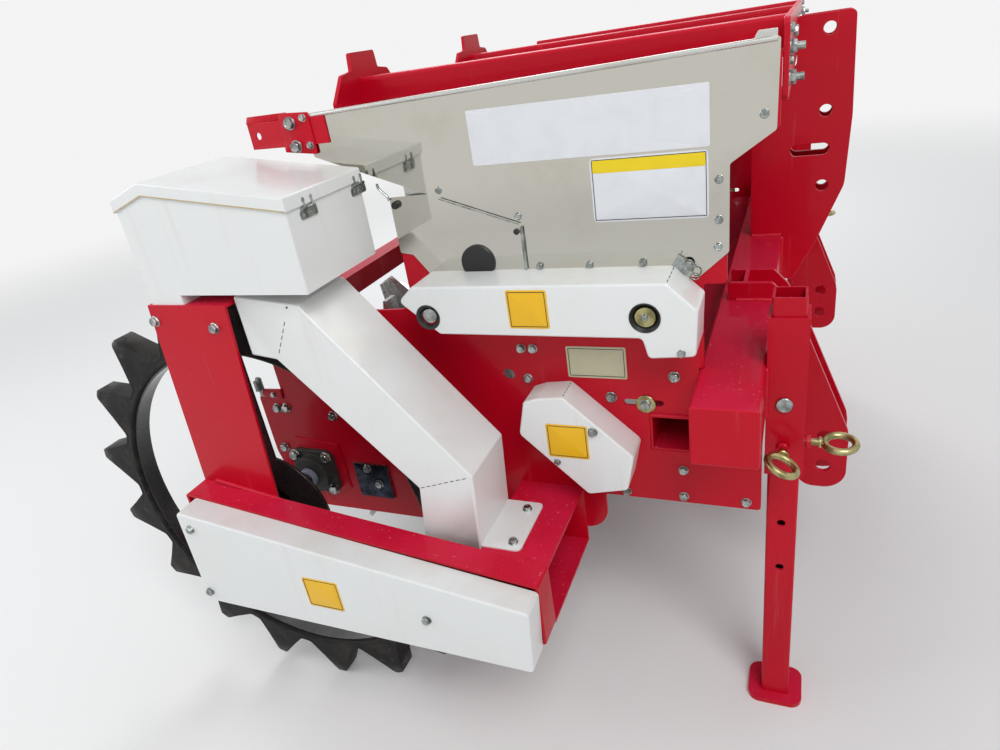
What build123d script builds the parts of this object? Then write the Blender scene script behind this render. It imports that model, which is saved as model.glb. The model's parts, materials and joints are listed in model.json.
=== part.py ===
"""Tractor-mounted garlic planter on two ground-drive lug wheels, parked on its wheels and two stand legs.

Frame: +X forward to the tractor, +Y to the machine's left, +Z up, millimetres.  Origin: the floor
below the middle of the machine.  Everything beside the centre plane is drawn on the left side, where
"out" is the distance from the centre plane, and mirrored for the right side.
"""

import os
from math import cos, radians, sin

from build123d import *

# Driving dimensions
overall_length = 1542.0      # rear lug tip to the front of the lower hitch clevises
side_out = 750.0             # centre plane to the outer face of a side plate
side_thick = 6.0
wheel_bay = 220.0            # side plate to the outer wheel beam
frame_depth = 50.0           # outer wheel beam, across
outer_cover_depth = 50.0
fit = 0.3                    # gap between pieces that seat on or pass through each other
running_gap = 6.0            # gap between pieces that move past each other

# Lug wheel
wheel_tip_radius = 465.0
wheel_inset = 136.0          # side plate to the wheel's middle plane
lug_root_radius = 381.0
ring_inner_radius = 364.0
ring_width = 52.0
lug_tip_width = 44.0
lug_count = 17
lug_phase = 4.0              # degrees from straight down to the lowest lug
lug_tip_half_angle = 1.3
lug_root_half_angle = 8.8
lug_tip_round = 8.0
rim_band = 5.0
spoke_width = 66.0
spoke_thick = 6.0
spoke_count = 3
dish_radius = 128.0
dish_depth = 26.0
hub_radius = 42.0
hub_length = 96.0
axle_radius = 15.0
bearing_flange = 108.0       # square flange bearing on the side plate
bearing_flange_thick = 14.0
bearing_boss_radius = 44.0
bearing_depth = 32.0
end_bearing_flange = 50.0    # round flange bearing on the outer wheel beam
end_bearing_boss = 36.0

# Three-point hitch, category 2
beam_size = 100.0
beam_overhang = 127.0        # side plate's outer face to the beam's end
beam_bottom = 650.0
beam_round = 6.0
clevis_reach = 146.0         # beam face to the clevis's front edge
clevis_middle = 412.5
clevis_gap = 65.0
clevis_hook = 35.0           # height of the clevis above the beam
hitch_plate = 10.0
lower_pin_radius = 14.5
lower_pin_back = 44.0
lower_pin_heights = (385.0, 455.0)
mast_gap = 52.0
top_pin_radius = 13.0
top_pin_back = 66.0
top_pin_heights = (862.0, 1023.0, 1185.0)
mast_slot_length = 80.0
mast_spacer_height = 120.0
mast_spacer_thick = 8.0

# Parking stands
leg_size = 50.0
leg_wall = 4.0
leg_round = 5.0
leg_top = 861.0
leg_hole_radius = 7.0
leg_hole_heights = (340.0, 440.0)
leg_inset = 48.0             # side plate's outer face to the leg's middle
sleeve_wall = 4.7
sleeve_bottom = 545.0
sleeve_top = 830.0
foot_length = 100.0
foot_width = 92.0
foot_thick = 10.0
foot_round = 22.0

# Side plate and cross tubes
plate_top = 960.0
plate_upper_ahead = 333.0     # wheel centre to the rear edge of the plates under the hopper
plate_upper_bottom = 850.0
plate_front_bottom = 480.0
plate_rear_bottom = 360.0
plate_bottom_rise = 36.0
plate_ear_bottom = 893.0     # front corner behind the polished plate, over a gap to the beam
window_tube = 70.0
window_tube_back = 15.0      # cross beam to the tube
window_tube_z = 622.0
rear_tube = 50.0
rear_tube_back = 7.0         # wheel centre to the tube's middle
rear_tube_z = 800.0
tube_wall = 5.0
plate_slot_length = 68.0
plate_slot_width = 12.0
plate_slot_z = 680.0
plate_hole_radius = 11.0

# Hopper, rails and head plates
mirror_thick = 2.0
mirror_bottom = 905.0
mirror_notch_ahead = 407.0    # wheel centre to the inner corner of the notch below the box
mirror_notch_bottom = 1053.5
mirror_rear_bottom = 1131.0
mirror_rear_margin = 10.0    # hopper to the plate's rear edge
mirror_front_margin = 8.0    # cross beam to the plate's front edge
hopper_wall = 3.0
hopper_rim = 1187.0
hopper_floor = 926.0
hopper_slope_top = 1031.5
hopper_ahead = 68.0          # drum centre to the hopper's rear wall
hopper_back = 72.0           # cross beam to the hopper's front wall
hopper_rear_slope = 150.0
hopper_rear_slope_top = 1134.0
hopper_rear_slope_foot = 1073.0
hopper_rear_bend = 8.0
hopper_front_slope = 130.0
hopper_bend = 20.0
hopper_lap = 10.0
rim_flange = 22.0
rail_size = 50.0
rail_round = 7.0
rail_out = 520.0
rail_overhang = 8.0
head_plate_gap = 2.0
head_plate_thick = 8.0
head_plate_inset = 15.0
head_plate_bottom = 1140.0
head_plate_top = 1240.0
stop_thick = 8.0
bracket_thick = 3.0
bracket_drop = 35.0          # hopper rim to the bracket's lower edge
bracket_height = 44.0
bracket_hole_radius = 6.0

# Metering and planting
row_count = 8
row_pitch = 155.0
metering_ahead = 264.0       # drum centre to the metering shaft
metering_z = 869.0
agitator_back = 165.0        # cross beam to the agitator shaft
agitator_z = 871.0
shaft_radius = 12.5
shaft_end_inset = 6.0        # face of the chain cover to the shaft's end
seed_hole_length = 68.0
seed_hole_width = 72.0
seed_well_depth = 40.0
housing_length = 150.0
housing_width = 104.0
housing_bottom = 790.0
spout_length = 62.0
spout_width = 56.0
spout_back = 8.0
spout_bottom = 722.0
metering_bar = 40.0
drum_ahead = 145.0           # wheel centre to the drum centre
drum_z = 450.0
drum_end_gap = 104.0         # side plate's inner face to the drum's end
drum_tip_radius = 340.0
drum_rim_radius = 232.0
drum_rim_thick = 14.0
drum_rim_width = 66.0
drum_tube_radius = 45.0
drum_web_thick = 8.0
web_hole_radius = 58.0
web_hole_count = 5
drum_axle_radius = 16.0
collar_wall = 8.0
axle_plate = 85.0
axle_plate_thick = 6.0

# Duck-bill beaks
beak_count = 10
beak_base = 46.0
beak_tip_width = 37.0
beak_tip_depth = 9.0
beak_wall = 3.0
beak_slit = 1.5
beak_collar = 14.0           # height of the square socket that holds the two jaws
jaw_pin_radius = 4.0
jaw_pin_height = 26.0
jaw_lever_length = 24.0
jaw_lever_width = 12.0

# Wheel frame, post and covers
frame_wall = 5.0
frame_bottom = 365.0
frame_front_top = 490.0
frame_rear_top = 579.0
frame_back = 87.0            # wheel centre to the beam's rear end
frame_ahead = 619.0          # wheel centre to the beam's front end
cross_length = 126.0
post_back = 55.0             # wheel centre to the post's rear top corner
post_thick = 5.0
post_top = 945.0
post_width = 173.0
post_bottom = 516.0
post_lean = 34.0
post_tab_drop = 119.0
post_tab_back = 40.0
cover_wall = 2.0
cover_bend = 4.0
upper_cover_depth = 80.0
metering_window = 18.5
agitator_window = 23.0
small_cover_depth = 62.0
small_cover_back = 202.0     # cross beam to the cover's middle
small_cover_z = 620.0

# Wheel guard and storage box
guard_inner_gap = 46.0       # tyre to the inner cheek's outer face
guard_outer_gap = 38.0
guard_wall = 2.0
guard_foot_thick = 3.0
guard_foot_inset = 2.0
box_inner_gap = 13.0
box_outer_gap = 3.0
box_back = 47.0              # wheel centre to the box's rear wall
box_length = 337.0
box_lift = 17.0               # top of the post to the box's floor, ahead of its seat
box_seat = 74.0
box_ridge = 69.0             # rear wall to the ridge of the lid
box_rear_height = 160.0
box_ridge_height = 184.0
box_front_height = 144.0
box_wall = 3.0
box_round = 3.0
lid_gap = 0.6
lid_skirt = 21.0
lid_wall = 2.5

# Places worked out from the driving dimensions
lug_pitch = 360 / lug_count
lug_from_rear = (90 + lug_phase) % lug_pitch
wheel_x = -overall_length / 2 + wheel_tip_radius * cos(radians(lug_from_rear - lug_tip_half_angle))
wheel_z = wheel_tip_radius * cos(radians(lug_phase - lug_tip_half_angle))
wheel_out = side_out + wheel_inset
tyre_in = wheel_out - ring_width / 2
tyre_out = wheel_out + ring_width / 2
clevis_front = overall_length / 2
beam_front = clevis_front - clevis_reach
beam_rear = beam_front - beam_size
beam_top = beam_bottom + beam_size
beam_reach = side_out + beam_overhang
side_in = side_out - side_thick
frame_in = side_out + wheel_bay
frame_out = frame_in + frame_depth
frame_rear = wheel_x - frame_back
frame_front = wheel_x + frame_ahead
cross_rear = frame_front - cross_length
leg_middle = side_out - leg_inset
sleeve_half = leg_size / 2 + fit + sleeve_wall
leg_x = beam_front + sleeve_half
mirror_out = side_out + mirror_thick
mirror_front = beam_front + mirror_front_margin
head_rear = mirror_front + head_plate_gap
head_front = head_rear + head_plate_thick
rail_top = hopper_rim + rail_size
window_tube_x = beam_rear - window_tube_back - window_tube / 2
rear_tube_x = wheel_x - rear_tube_back
drum_x = wheel_x + drum_ahead
drum_reach = side_in - drum_end_gap
metering_x = drum_x + metering_ahead
agitator_x = beam_front - agitator_back
shaft_end_out = mirror_out + upper_cover_depth - shaft_end_inset
hopper_rear = drum_x + hopper_ahead
hopper_front = beam_front - hopper_back
mirror_rear = hopper_rear - mirror_rear_margin
rail_rear = mirror_rear - rail_overhang
guard_in = tyre_in - guard_inner_gap
guard_out = tyre_out + guard_outer_gap
box_in = side_out + box_inner_gap
box_out = frame_in - box_outer_gap
box_rear = wheel_x - box_back
box_front = box_rear + box_length

os.makedirs("parts", exist_ok=True)
nodes = {}


def outline(rows):
    """Closed face on the XY plane from rows of (x, y, corner radius)."""
    points = [(x, y) for x, y, _ in rows]
    radii = [radius for _, _, radius in rows]
    if not any(radii):
        return make_face(Polyline(*points, close=True))
    return make_face(FilletPolyline(*points, radius=radii, close=True))


def folded(path, wall):
    """Section of a folded sheet: a path of (x, y, outside bend radius) given a wall on its left side.

    A negative wall lies on the right side.  Each fold is a mitre of the two runs, rounded on both faces.
    """
    points = [Vector(x, y) for x, y, _ in path]
    runs = [(after - before).normalized() for before, after in zip(points, points[1:])]
    front, back = [], []
    for index, (x, y, radius) in enumerate(path):
        before, after = runs[max(index - 1, 0)], runs[min(index, len(runs) - 1)]
        left = Vector(-before.Y - after.Y, before.X + after.X)
        shift = left * (wall / (1 + before.dot(after)))
        tight = max(radius - abs(wall), 0)
        inward = before.cross(after).Z * wall > 0
        front.append((x, y, radius if inward else tight))
        back.append((x + shift.X, y + shift.Y, tight if inward else radius))
    return outline(front + back[::-1])


def side_slab(face, inner, outer):
    """Extrude an (x, z) outline across the machine from out = inner to out = outer."""
    return extrude(Plane.XZ.offset(-outer) * face, amount=outer - inner)


def cross_slab(face, rear, front):
    """Extrude a (y, z) outline along the machine from x = rear to x = front."""
    return extrude(Plane.YZ.offset(rear) * face, amount=front - rear)


def flat_slab(face, bottom, top):
    """Extrude an (x, y) outline upwards from z = bottom to z = top."""
    return extrude(Plane.XY.offset(bottom) * face, amount=top - bottom)


def block(x, y, z):
    """Box from three (low, high) pairs."""
    size = (x[1] - x[0], y[1] - y[0], z[1] - z[0])
    middle = ((x[0] + x[1]) / 2, (y[0] + y[1]) / 2, (z[0] + z[1]) / 2)
    return Pos(*middle) * Box(*size)


def cross_rod(x, z, radius, inner, outer):
    """Round bar or hole across the machine at (x, z)."""
    return side_slab(Pos(x, z) * Circle(radius), inner, outer)


def shell_cover(rows, inner, outer, wall):
    """Pressed cover: an (x, z) outline with a closed outer face, open towards the machine."""
    face = outline(rows)
    cover = side_slab(face, inner, outer)
    cover = fillet(cover.faces().sort_by(Axis.Y)[-1].edges(), cover_bend)
    hollow = offset(face, amount=-wall, kind=Kind.INTERSECTION)
    return cover - side_slab(hollow, inner - wall, outer - wall)


def both_sides(name, solid):
    """Store a left-hand piece and its mirror image on the right."""
    nodes[name + "_left"] = solid
    nodes[name + "_right"] = mirror(solid, about=Plane.XZ)


def front_structure():
    """Cross beam, hitch clevises, mast and the parking stands."""
    beam = block((beam_rear, beam_front), (-beam_reach, beam_reach), (beam_bottom, beam_top))
    nodes["front_beam"] = fillet(beam.edges().filter_by(Axis.Y), beam_round)

    pin_x = clevis_front - lower_pin_back
    hook_top = beam_top + clevis_hook
    low = lower_pin_heights[0] - 53
    # x, z, corner radius
    clevis = [
        (beam_front, beam_top, 0), (beam_rear + 16, beam_top, 0), (beam_rear + 16, hook_top, 6),
        (beam_front - 5, hook_top, 8), (beam_front + 21, beam_top + 7, 12),
        (beam_front + 62, beam_bottom + 27, 40), (clevis_front - 3, lower_pin_heights[1] + 19, 30),
        (clevis_front, lower_pin_heights[1], 6), (clevis_front, low, 42), (clevis_front - 88, low, 36),
        (beam_front + 6, beam_bottom - 90, 30), (beam_front, beam_bottom - 60, 0),
    ]
    ears = [clevis_middle - clevis_gap / 2 - hitch_plate, clevis_middle + clevis_gap / 2]
    outer_ear = ears[1] + hitch_plate
    pair = block((beam_rear + 43, beam_rear + 51), (ears[0], outer_ear), (beam_top, hook_top))
    for ear in ears:
        pair += side_slab(outline(clevis), ear, ear + hitch_plate)
    for height in lower_pin_heights:
        pair -= cross_rod(pin_x, height, lower_pin_radius, ears[0] - 1, outer_ear + 1)
    both_sides("lower_clevis", pair)

    mast_rear = beam_rear + 29
    mast_top = top_pin_heights[2] + 30
    slot_z = (top_pin_heights[0] + top_pin_heights[1]) / 2
    # x, z, corner radius
    mast = [
        (beam_front, beam_top, 0), (mast_rear, beam_top, 0), (mast_rear, beam_top + 235, 30),
        (head_front, head_plate_bottom - 20, 20), (head_front, mast_top, 4),
        (clevis_front - 18, mast_top, 12), (clevis_front - 13, mast_top - 205, 120),
        (clevis_front - 20, top_pin_heights[0], 60),
        (clevis_front - 72, beam_top - 17, 60), (beam_front + 26, beam_bottom - 10, 16),
        (beam_front, beam_bottom - 10, 0),
    ]
    slot = SlotOverall(mast_slot_length, 2 * top_pin_radius)
    plate = outline(mast) - Pos(clevis_front - 95, slot_z) * slot
    for height in top_pin_heights:
        plate -= Pos(clevis_front - top_pin_back, height) * Circle(top_pin_radius)
    both_sides("mast_plate", side_slab(plate, mast_gap / 2, mast_gap / 2 + hitch_plate))
    nodes["mast_spacer"] = block((mast_rear, mast_rear + mast_spacer_thick), (-mast_gap / 2, mast_gap / 2),
                                 (beam_top, beam_top + mast_spacer_height))

    pin_z = beam_bottom + 30
    pin_reach = sleeve_half + 1
    bore = leg_size / 2 + fit
    tube = Rectangle(2 * sleeve_half, 2 * sleeve_half) - Rectangle(2 * bore, 2 * bore)
    sleeve = Pos(leg_x, leg_middle, sleeve_bottom) * extrude(tube, sleeve_top - sleeve_bottom)
    sleeve -= cross_rod(leg_x, pin_z, leg_hole_radius, leg_middle - pin_reach, leg_middle + pin_reach)
    both_sides("stand_sleeve", sleeve)

    inside = leg_size - 2 * leg_wall
    section = fillet(Rectangle(leg_size, leg_size).vertices(), leg_round) - Rectangle(inside, inside)
    leg = Pos(leg_x, leg_middle, foot_thick) * extrude(section, leg_top - foot_thick)
    for hole in leg_hole_heights + (pin_z,):
        leg -= cross_rod(leg_x, hole, leg_hole_radius, leg_middle - pin_reach, leg_middle + pin_reach)
    foot = extrude(RectangleRounded(foot_length, foot_width, foot_round), foot_thick)
    both_sides("stand_leg", leg + Pos(leg_x, leg_middle) * foot)


def side_plates():
    """Laser-cut side plates, the cross tubes between them and their bearings."""
    step_x = frame_front + 42
    plate_upper_rear = wheel_x + plate_upper_ahead
    rise = plate_rear_bottom + plate_bottom_rise
    tube_edge = rear_tube_x - 32
    # x, z, corner radius
    rows = [
        (beam_front - 3, plate_front_bottom, 6), (beam_front - 3, beam_bottom + 20, 0),
        (beam_rear + 8, beam_bottom + 20, 0), (beam_rear + 8, plate_ear_bottom, 6),
        (beam_rear + 43, plate_ear_bottom, 6), (beam_rear + 43, plate_top, 8),
        (plate_upper_rear, plate_top, 8), (plate_upper_rear, plate_upper_bottom, 30),
        (tube_edge, rear_tube_z + 38, 18), (tube_edge, wheel_z + 188, 3),
        (wheel_x - 105, wheel_z + 182, 14), (wheel_x - 105, wheel_z + 36, 60),
        (wheel_x - 69, plate_rear_bottom, 30), (wheel_x + 243, plate_rear_bottom, 60),
        (wheel_x + 363, rise, 60), (step_x, rise, 46), (step_x, plate_front_bottom, 6),
    ]
    cut = (side_in - 1, side_out + 1)
    plate = side_slab(outline(rows), side_in, side_out)
    plate -= block((beam_rear, beam_front), cut, (beam_bottom, beam_top))
    half = window_tube / 2
    window_x = (window_tube_x - half, window_tube_x + half)
    window_z = (window_tube_z - half, window_tube_z + half)
    plate -= block(window_x, cut, window_z)
    slot = SlotOverall(plate_slot_length, plate_slot_width)
    plate -= side_slab(Pos(window_tube_x - 43, plate_slot_z) * slot, *cut)
    # x, z, radius
    holes = [
        (wheel_x, wheel_z, axle_radius + 12), (drum_x, drum_z, drum_axle_radius + fit),
        (metering_x, metering_z, shaft_radius + fit), (agitator_x, agitator_z, shaft_radius + fit),
        (window_tube_x - 284, metering_z - 145, plate_hole_radius),
    ]
    for x, z, radius in holes:
        plate -= cross_rod(x, z, radius, *cut)
    both_sides("side_plate", plate)

    wall = tube_wall
    tube = block(window_x, (-side_out, side_out), window_z)
    tube -= block((window_x[0] + wall, window_x[1] - wall), (-side_out - 1, side_out + 1),
                  (window_z[0] + wall, window_z[1] - wall))
    nodes["middle_tube"] = tube
    half = rear_tube / 2
    nodes["rear_tube"] = block((rear_tube_x - half, rear_tube_x + half), (-side_in, side_in),
                               (rear_tube_z - half, rear_tube_z + half))

    flange = fillet(Rectangle(bearing_flange, bearing_flange).vertices(), bearing_flange / 5)
    bearing = side_slab(Pos(wheel_x, wheel_z) * flange, side_out, side_out + bearing_flange_thick)
    bearing += cross_rod(wheel_x, wheel_z, bearing_boss_radius, side_out, side_out + bearing_depth)
    web_out = frame_in + frame_wall
    outboard = cross_rod(wheel_x, wheel_z, end_bearing_flange, web_out, web_out + 12)
    outboard += cross_rod(wheel_x, wheel_z, end_bearing_boss, web_out, web_out + 26)
    shaft_hole = cross_rod(wheel_x, wheel_z, axle_radius + fit, side_out - 1, frame_out)
    both_sides("axle_bearing", Compound(children=[bearing - shaft_hole, outboard - shaft_hole]))


def hopper():
    """Polished side plates and the seed hopper of folded sheets between its two end sheets."""
    low_rear = wheel_x + plate_upper_ahead
    # x, z, corner radius
    rows = [
        (mirror_rear, mirror_rear_bottom, 4), (mirror_rear, hopper_rim + 13, 4),
        (mirror_front, hopper_rim + 33, 4),
        (mirror_front - 2, head_plate_bottom - 32, 6), (beam_rear + 47, head_plate_bottom - 72, 6),
        (beam_rear + 46, mirror_bottom + 38, 6), (beam_rear + 3, mirror_bottom, 6),
        (low_rear + 60, mirror_bottom, 6), (low_rear + 24, plate_top - 7, 6), (low_rear, plate_top - 3, 3),
        (low_rear, mirror_notch_bottom, 4), (wheel_x + mirror_notch_ahead, mirror_notch_bottom + 1.5, 0),
    ]
    both_sides("hopper_side", side_slab(outline(rows), side_out, mirror_out))

    wall = hopper_wall
    sheet_in = side_in - wall
    floor_rear = hopper_rear + hopper_rear_slope
    floor_front = hopper_front - hopper_front_slope
    rear_run = [
        (hopper_rear + wall, hopper_rear_slope_top, hopper_rear_bend),
        (floor_rear, hopper_rear_slope_foot, hopper_rear_bend), (floor_rear, hopper_floor + fit, 0),
    ]
    front_run = [
        (hopper_front - wall, hopper_slope_top, hopper_bend), (floor_front, hopper_floor, wall),
        (floor_front - hopper_lap, hopper_floor, 0),
    ]
    # name, outer wall, points below the rim, direction towards the middle
    sheets = [
        ("hopper_rear_sheet", hopper_rear, rear_run, 1), ("hopper_front_sheet", hopper_front, front_run, -1),
    ]
    for name, edge, run, inward in sheets:
        rim = [(edge - inward * rim_flange, hopper_rim, 0), (edge + inward * wall, hopper_rim, wall + 1)]
        path = rim + run
        nodes[name] = side_slab(folded(path, -inward * wall), -sheet_in, sheet_in)

    floor_top = hopper_floor + wall
    floor = block((floor_rear, floor_front), (-sheet_in, sheet_in), (hopper_floor, floor_top))
    half = seed_hole_length / 2
    for y in row_places():
        sides = (y - seed_hole_width / 2, y + seed_hole_width / 2)
        floor -= block((metering_x - half, metering_x + half), sides, (hopper_floor - 1, floor_top + 1))
    nodes["hopper_floor"] = floor

    low = hopper_floor - wall
    # x, z, corner radius
    profile = [
        (hopper_rear, hopper_rim, 0), (hopper_rear, hopper_rear_slope_top - wall, 0),
        (floor_rear - wall, hopper_rear_slope_foot - wall, 0), (floor_rear - wall, low, 0),
        (floor_front, low, 0), (hopper_front, hopper_slope_top, 0), (hopper_front, hopper_rim, 0),
    ]
    end = side_slab(outline(profile), sheet_in, side_in)
    rim_x = (hopper_rear - rim_flange, hopper_front + rim_flange)
    end += block(rim_x, (sheet_in, side_out), (hopper_rim - wall, hopper_rim))
    both_sides("hopper_end", end)

    edge = mirror_rear
    path = [
        (edge + 40, mirror_out, 0), (edge - 41, mirror_out, bracket_thick + 4),
        (edge - 132, mirror_out - 12, 0),
    ]
    bracket_bottom = hopper_rim - bracket_drop
    bracket = flat_slab(folded(path, -bracket_thick), bracket_bottom, bracket_bottom + bracket_height)
    hole_z = bracket_bottom + bracket_height / 2
    bracket -= cross_rod(edge - 111, hole_z, bracket_hole_radius, side_out - 30, side_out + 30)
    both_sides("rear_bracket", bracket)


def rails():
    """Top rails with their stop plates, and the head plate across their front ends."""
    # y, z, corner radius of the stop plate on a rail's rear end
    stop = [
        (-120, hopper_rim, 3), (-120, hopper_rim + 16, 3), (-82, rail_top + 10, 6), (-47, rail_top + 14, 4),
        (-43, rail_top + 45, 6), (43, rail_top + 45, 6), (47, rail_top + 14, 4), (82, rail_top + 10, 6),
        (120, hopper_rim + 16, 3), (120, hopper_rim, 3),
    ]
    half = rail_size / 2
    # name, y, has a stop
    places = [
        ("top_rail_right", -rail_out, True), ("top_rail_centre", 0, True),
        ("top_rail_left", rail_out, False),
    ]
    for name, y, stopped in places:
        rail = block((rail_rear, head_rear), (y - half, y + half), (hopper_rim, rail_top))
        rail = fillet(rail.edges().filter_by(Axis.X), rail_round)
        if stopped:
            rail += cross_slab(Pos(y, 0) * outline(stop), rail_rear - stop_thick, rail_rear)
        nodes[name] = rail

    reach = side_out - head_plate_inset
    head = [(-reach, head_plate_bottom, 10), (reach, head_plate_bottom, 10), (reach, head_plate_top, 10),
            (-reach, head_plate_top, 10)]
    nodes["head_plate"] = cross_slab(outline(head), head_rear, head_front)


def row_places():
    """Across-machine places of the planting rows."""
    first = -(row_count - 1) / 2 * row_pitch
    return [first + index * row_pitch for index in range(row_count)]


def metering():
    """Metering housings under the hopper on one bar, and the two shafts across the machine."""
    under = hopper_floor
    bar_x = metering_x + housing_length / 2 - running_gap
    bar_z = (under + housing_bottom) / 2 - 8
    half = seed_hole_length / 2
    units = block((bar_x, bar_x + metering_bar), (-side_in, side_in), (bar_z, bar_z + metering_bar))
    for y in row_places():
        box = Rectangle(housing_length, housing_width)
        housing = Pos(metering_x, y, housing_bottom) * extrude(box, under - housing_bottom)
        spout = Pos(metering_x - spout_back, y, spout_bottom) * Rectangle(spout_length, spout_width)
        housing += loft(Sketch() + [Pos(metering_x, y, housing_bottom) * box, spout])
        sides = (y - seed_hole_width / 2, y + seed_hole_width / 2)
        housing -= block((metering_x - half, metering_x + half), sides, (under - seed_well_depth, under + 1))
        units += housing
    units -= cross_rod(metering_x, metering_z, shaft_radius + fit, -side_out, side_out)
    nodes["metering_units"] = units
    nodes["metering_shaft"] = cross_rod(metering_x, metering_z, shaft_radius, -shaft_end_out, shaft_end_out)
    nodes["agitator_shaft"] = cross_rod(agitator_x, agitator_z, shaft_radius, -shaft_end_out, shaft_end_out)


def duck_bill():
    """One beak along +Z from the drum's centre: a square socket, two hollow jaws that meet at a slit across
    the direction of travel, the hinge pin of the moving jaw and its opening lever."""
    root = drum_rim_radius - 4
    base = Pos(0, 0, root) * Rectangle(beak_base, beak_base)
    tip = Pos(0, 0, drum_tip_radius) * Rectangle(beak_tip_depth, beak_tip_width)
    hollow_base = Pos(0, 0, root) * Rectangle(beak_base - 2 * beak_wall, beak_base - 2 * beak_wall)
    hollow_tip = Pos(0, 0, drum_tip_radius - 2 * beak_wall)
    hollow_tip *= Rectangle(beak_tip_depth - 2 * beak_wall, beak_tip_width - 2 * beak_wall)
    beak = loft(Sketch() + [base, tip]) - loft(Sketch() + [hollow_base, hollow_tip])
    slit_bottom = drum_rim_radius + beak_collar
    gap = (-beak_slit / 2, beak_slit / 2)
    beak -= block(gap, (-beak_base, beak_base), (slit_bottom, drum_tip_radius + 1))
    half = beak_base / 2
    collar = half + 2
    bore = beak_base - 2 * beak_wall
    socket = Rectangle(2 * collar, 2 * collar) - Rectangle(bore, bore)
    beak += Pos(0, 0, root) * extrude(socket, beak_collar)
    pin_z = drum_rim_radius + jaw_pin_height
    pin_x = -half / 2
    for side in (-1, 1):
        ends = sorted((side * (half - beak_wall - 2), side * (half + 5)))
        beak += cross_rod(pin_x, pin_z, jaw_pin_radius, *ends)
    lever = SlotOverall(jaw_lever_length + jaw_lever_width, jaw_lever_width)
    beak += side_slab(Pos(pin_x - jaw_lever_length / 2, pin_z) * lever, half, half + 4)
    return beak


def planting_drum():
    """Drum of planting wheels, each with a rim, a web and a ring of duck-bill beaks, and its fixed axle."""
    reach = drum_rim_radius
    drum = cross_rod(0, 0, drum_tube_radius, -drum_reach, drum_reach)
    rim = Circle(reach) - Circle(reach - drum_rim_thick)
    web = Circle(reach - 4) - Circle(drum_tube_radius - 4)
    for index in range(web_hole_count):
        turn = Rot(0, 0, index * 360 / web_hole_count)
        web -= turn * Pos((reach + drum_tube_radius) / 2, 0) * Circle(web_hole_radius)
    beak = duck_bill()
    beaks = []
    for row, y in enumerate(row_places()):
        drum += side_slab(rim, y - drum_rim_width / 2, y + drum_rim_width / 2)
        drum += side_slab(web, y - drum_web_thick / 2, y + drum_web_thick / 2)
        for index in range(beak_count):
            angle = 360 / beak_count * (index + row % 2 / 2)
            beaks.append(Pos(0, y, 0) * Rot(0, angle, 0) * beak)
    drum += beaks
    drum -= cross_rod(0, 0, drum_axle_radius + fit, -side_out, side_out)
    nodes["planting_drum"] = Pos(drum_x, 0, drum_z) * drum

    axle = cross_rod(drum_x, drum_z, drum_axle_radius, -side_out, side_out)
    collar_in = drum_reach + running_gap
    for side in (-1, 1):
        plate = sorted((side * side_out, side * (side_out + axle_plate_thick)))
        axle += side_slab(Pos(drum_x, drum_z) * Rectangle(axle_plate, axle_plate), *plate)
        collar = sorted((side * collar_in, side * side_in))
        axle += cross_rod(drum_x, drum_z, drum_axle_radius + collar_wall, *collar)
    nodes["drum_axle"] = axle


def wheels():
    """Rubber lug ring and the pressed disc with its axle."""
    # angle from the lug's middle, radius, corner radius
    lug = [
        (-lug_root_half_angle, lug_root_radius, 0),
        (-lug_tip_half_angle, wheel_tip_radius, lug_tip_round),
        (lug_tip_half_angle, wheel_tip_radius, lug_tip_round),
        (lug_root_half_angle, lug_root_radius, 0),
    ]
    rows = []
    for index in range(lug_count):
        for angle, radius, corner in lug:
            turn = radians(index * lug_pitch - 90 + lug_phase + angle)
            rows.append((radius * cos(turn), radius * sin(turn), corner))
    half = ring_width / 2
    tyre = side_slab(outline(rows) - Circle(ring_inner_radius), -half, half)
    tip = wheel_tip_radius + 5
    slope = (ring_width - lug_tip_width) / 2 / (wheel_tip_radius - lug_root_radius)
    # y, z of the wedge that each side of a lug loses towards its tip
    wedge = [
        (half, lug_root_radius, 0), (half - slope * (tip - lug_root_radius), tip, 0), (half + 1, tip, 0),
    ]
    reach = lug_root_radius * sin(radians(lug_pitch / 2))
    taper = cross_slab(outline(wedge), -reach, reach)
    taper += mirror(taper, about=Plane.XZ)
    tyre -= [Rot(0, 180 - lug_phase + index * lug_pitch, 0) * taper for index in range(lug_count)]
    both_sides("wheel_tyre", Pos(wheel_x, wheel_out, wheel_z) * tyre)

    band_radius = ring_inner_radius - fit
    band = side_slab(Circle(band_radius) - Circle(band_radius - rim_band), -half + 8, half - 8)
    bulge = dish_radius * 0.55
    lip = dish_depth * 0.35
    section = Polyline(
        (0, 0), (hub_radius, 0), (bulge, dish_depth), (dish_radius, lip), (dish_radius, lip - spoke_thick),
        (bulge, dish_depth - spoke_thick), (hub_radius, -spoke_thick), (0, -spoke_thick), close=True)
    wheel = revolve(make_face(section), Axis.Y)
    for index in range(spoke_count):
        strip = Pos(dish_radius - 12 + band_radius / 2, 0) * Rectangle(band_radius, spoke_width)
        spoke = (Rot(0, 0, 90 + index * 360 / spoke_count) * strip) & Circle(band_radius - rim_band / 2)
        wheel += side_slab(spoke, lip - spoke_thick, lip)
    wheel += band
    wheel += cross_rod(0, 0, hub_radius, -hub_length / 2, hub_length / 2)
    wheel += cross_rod(0, 0, axle_radius, side_in - 20 - wheel_out, frame_out - 8 - wheel_out)
    both_sides("wheel_disc", Pos(wheel_x, wheel_out, wheel_z) * wheel)


def frame_top(x):
    """Height of the outer wheel beam's top edge at x."""
    slope = (frame_front_top - frame_rear_top) / (frame_front - frame_rear)
    return frame_rear_top + slope * (x - frame_rear)


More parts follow.
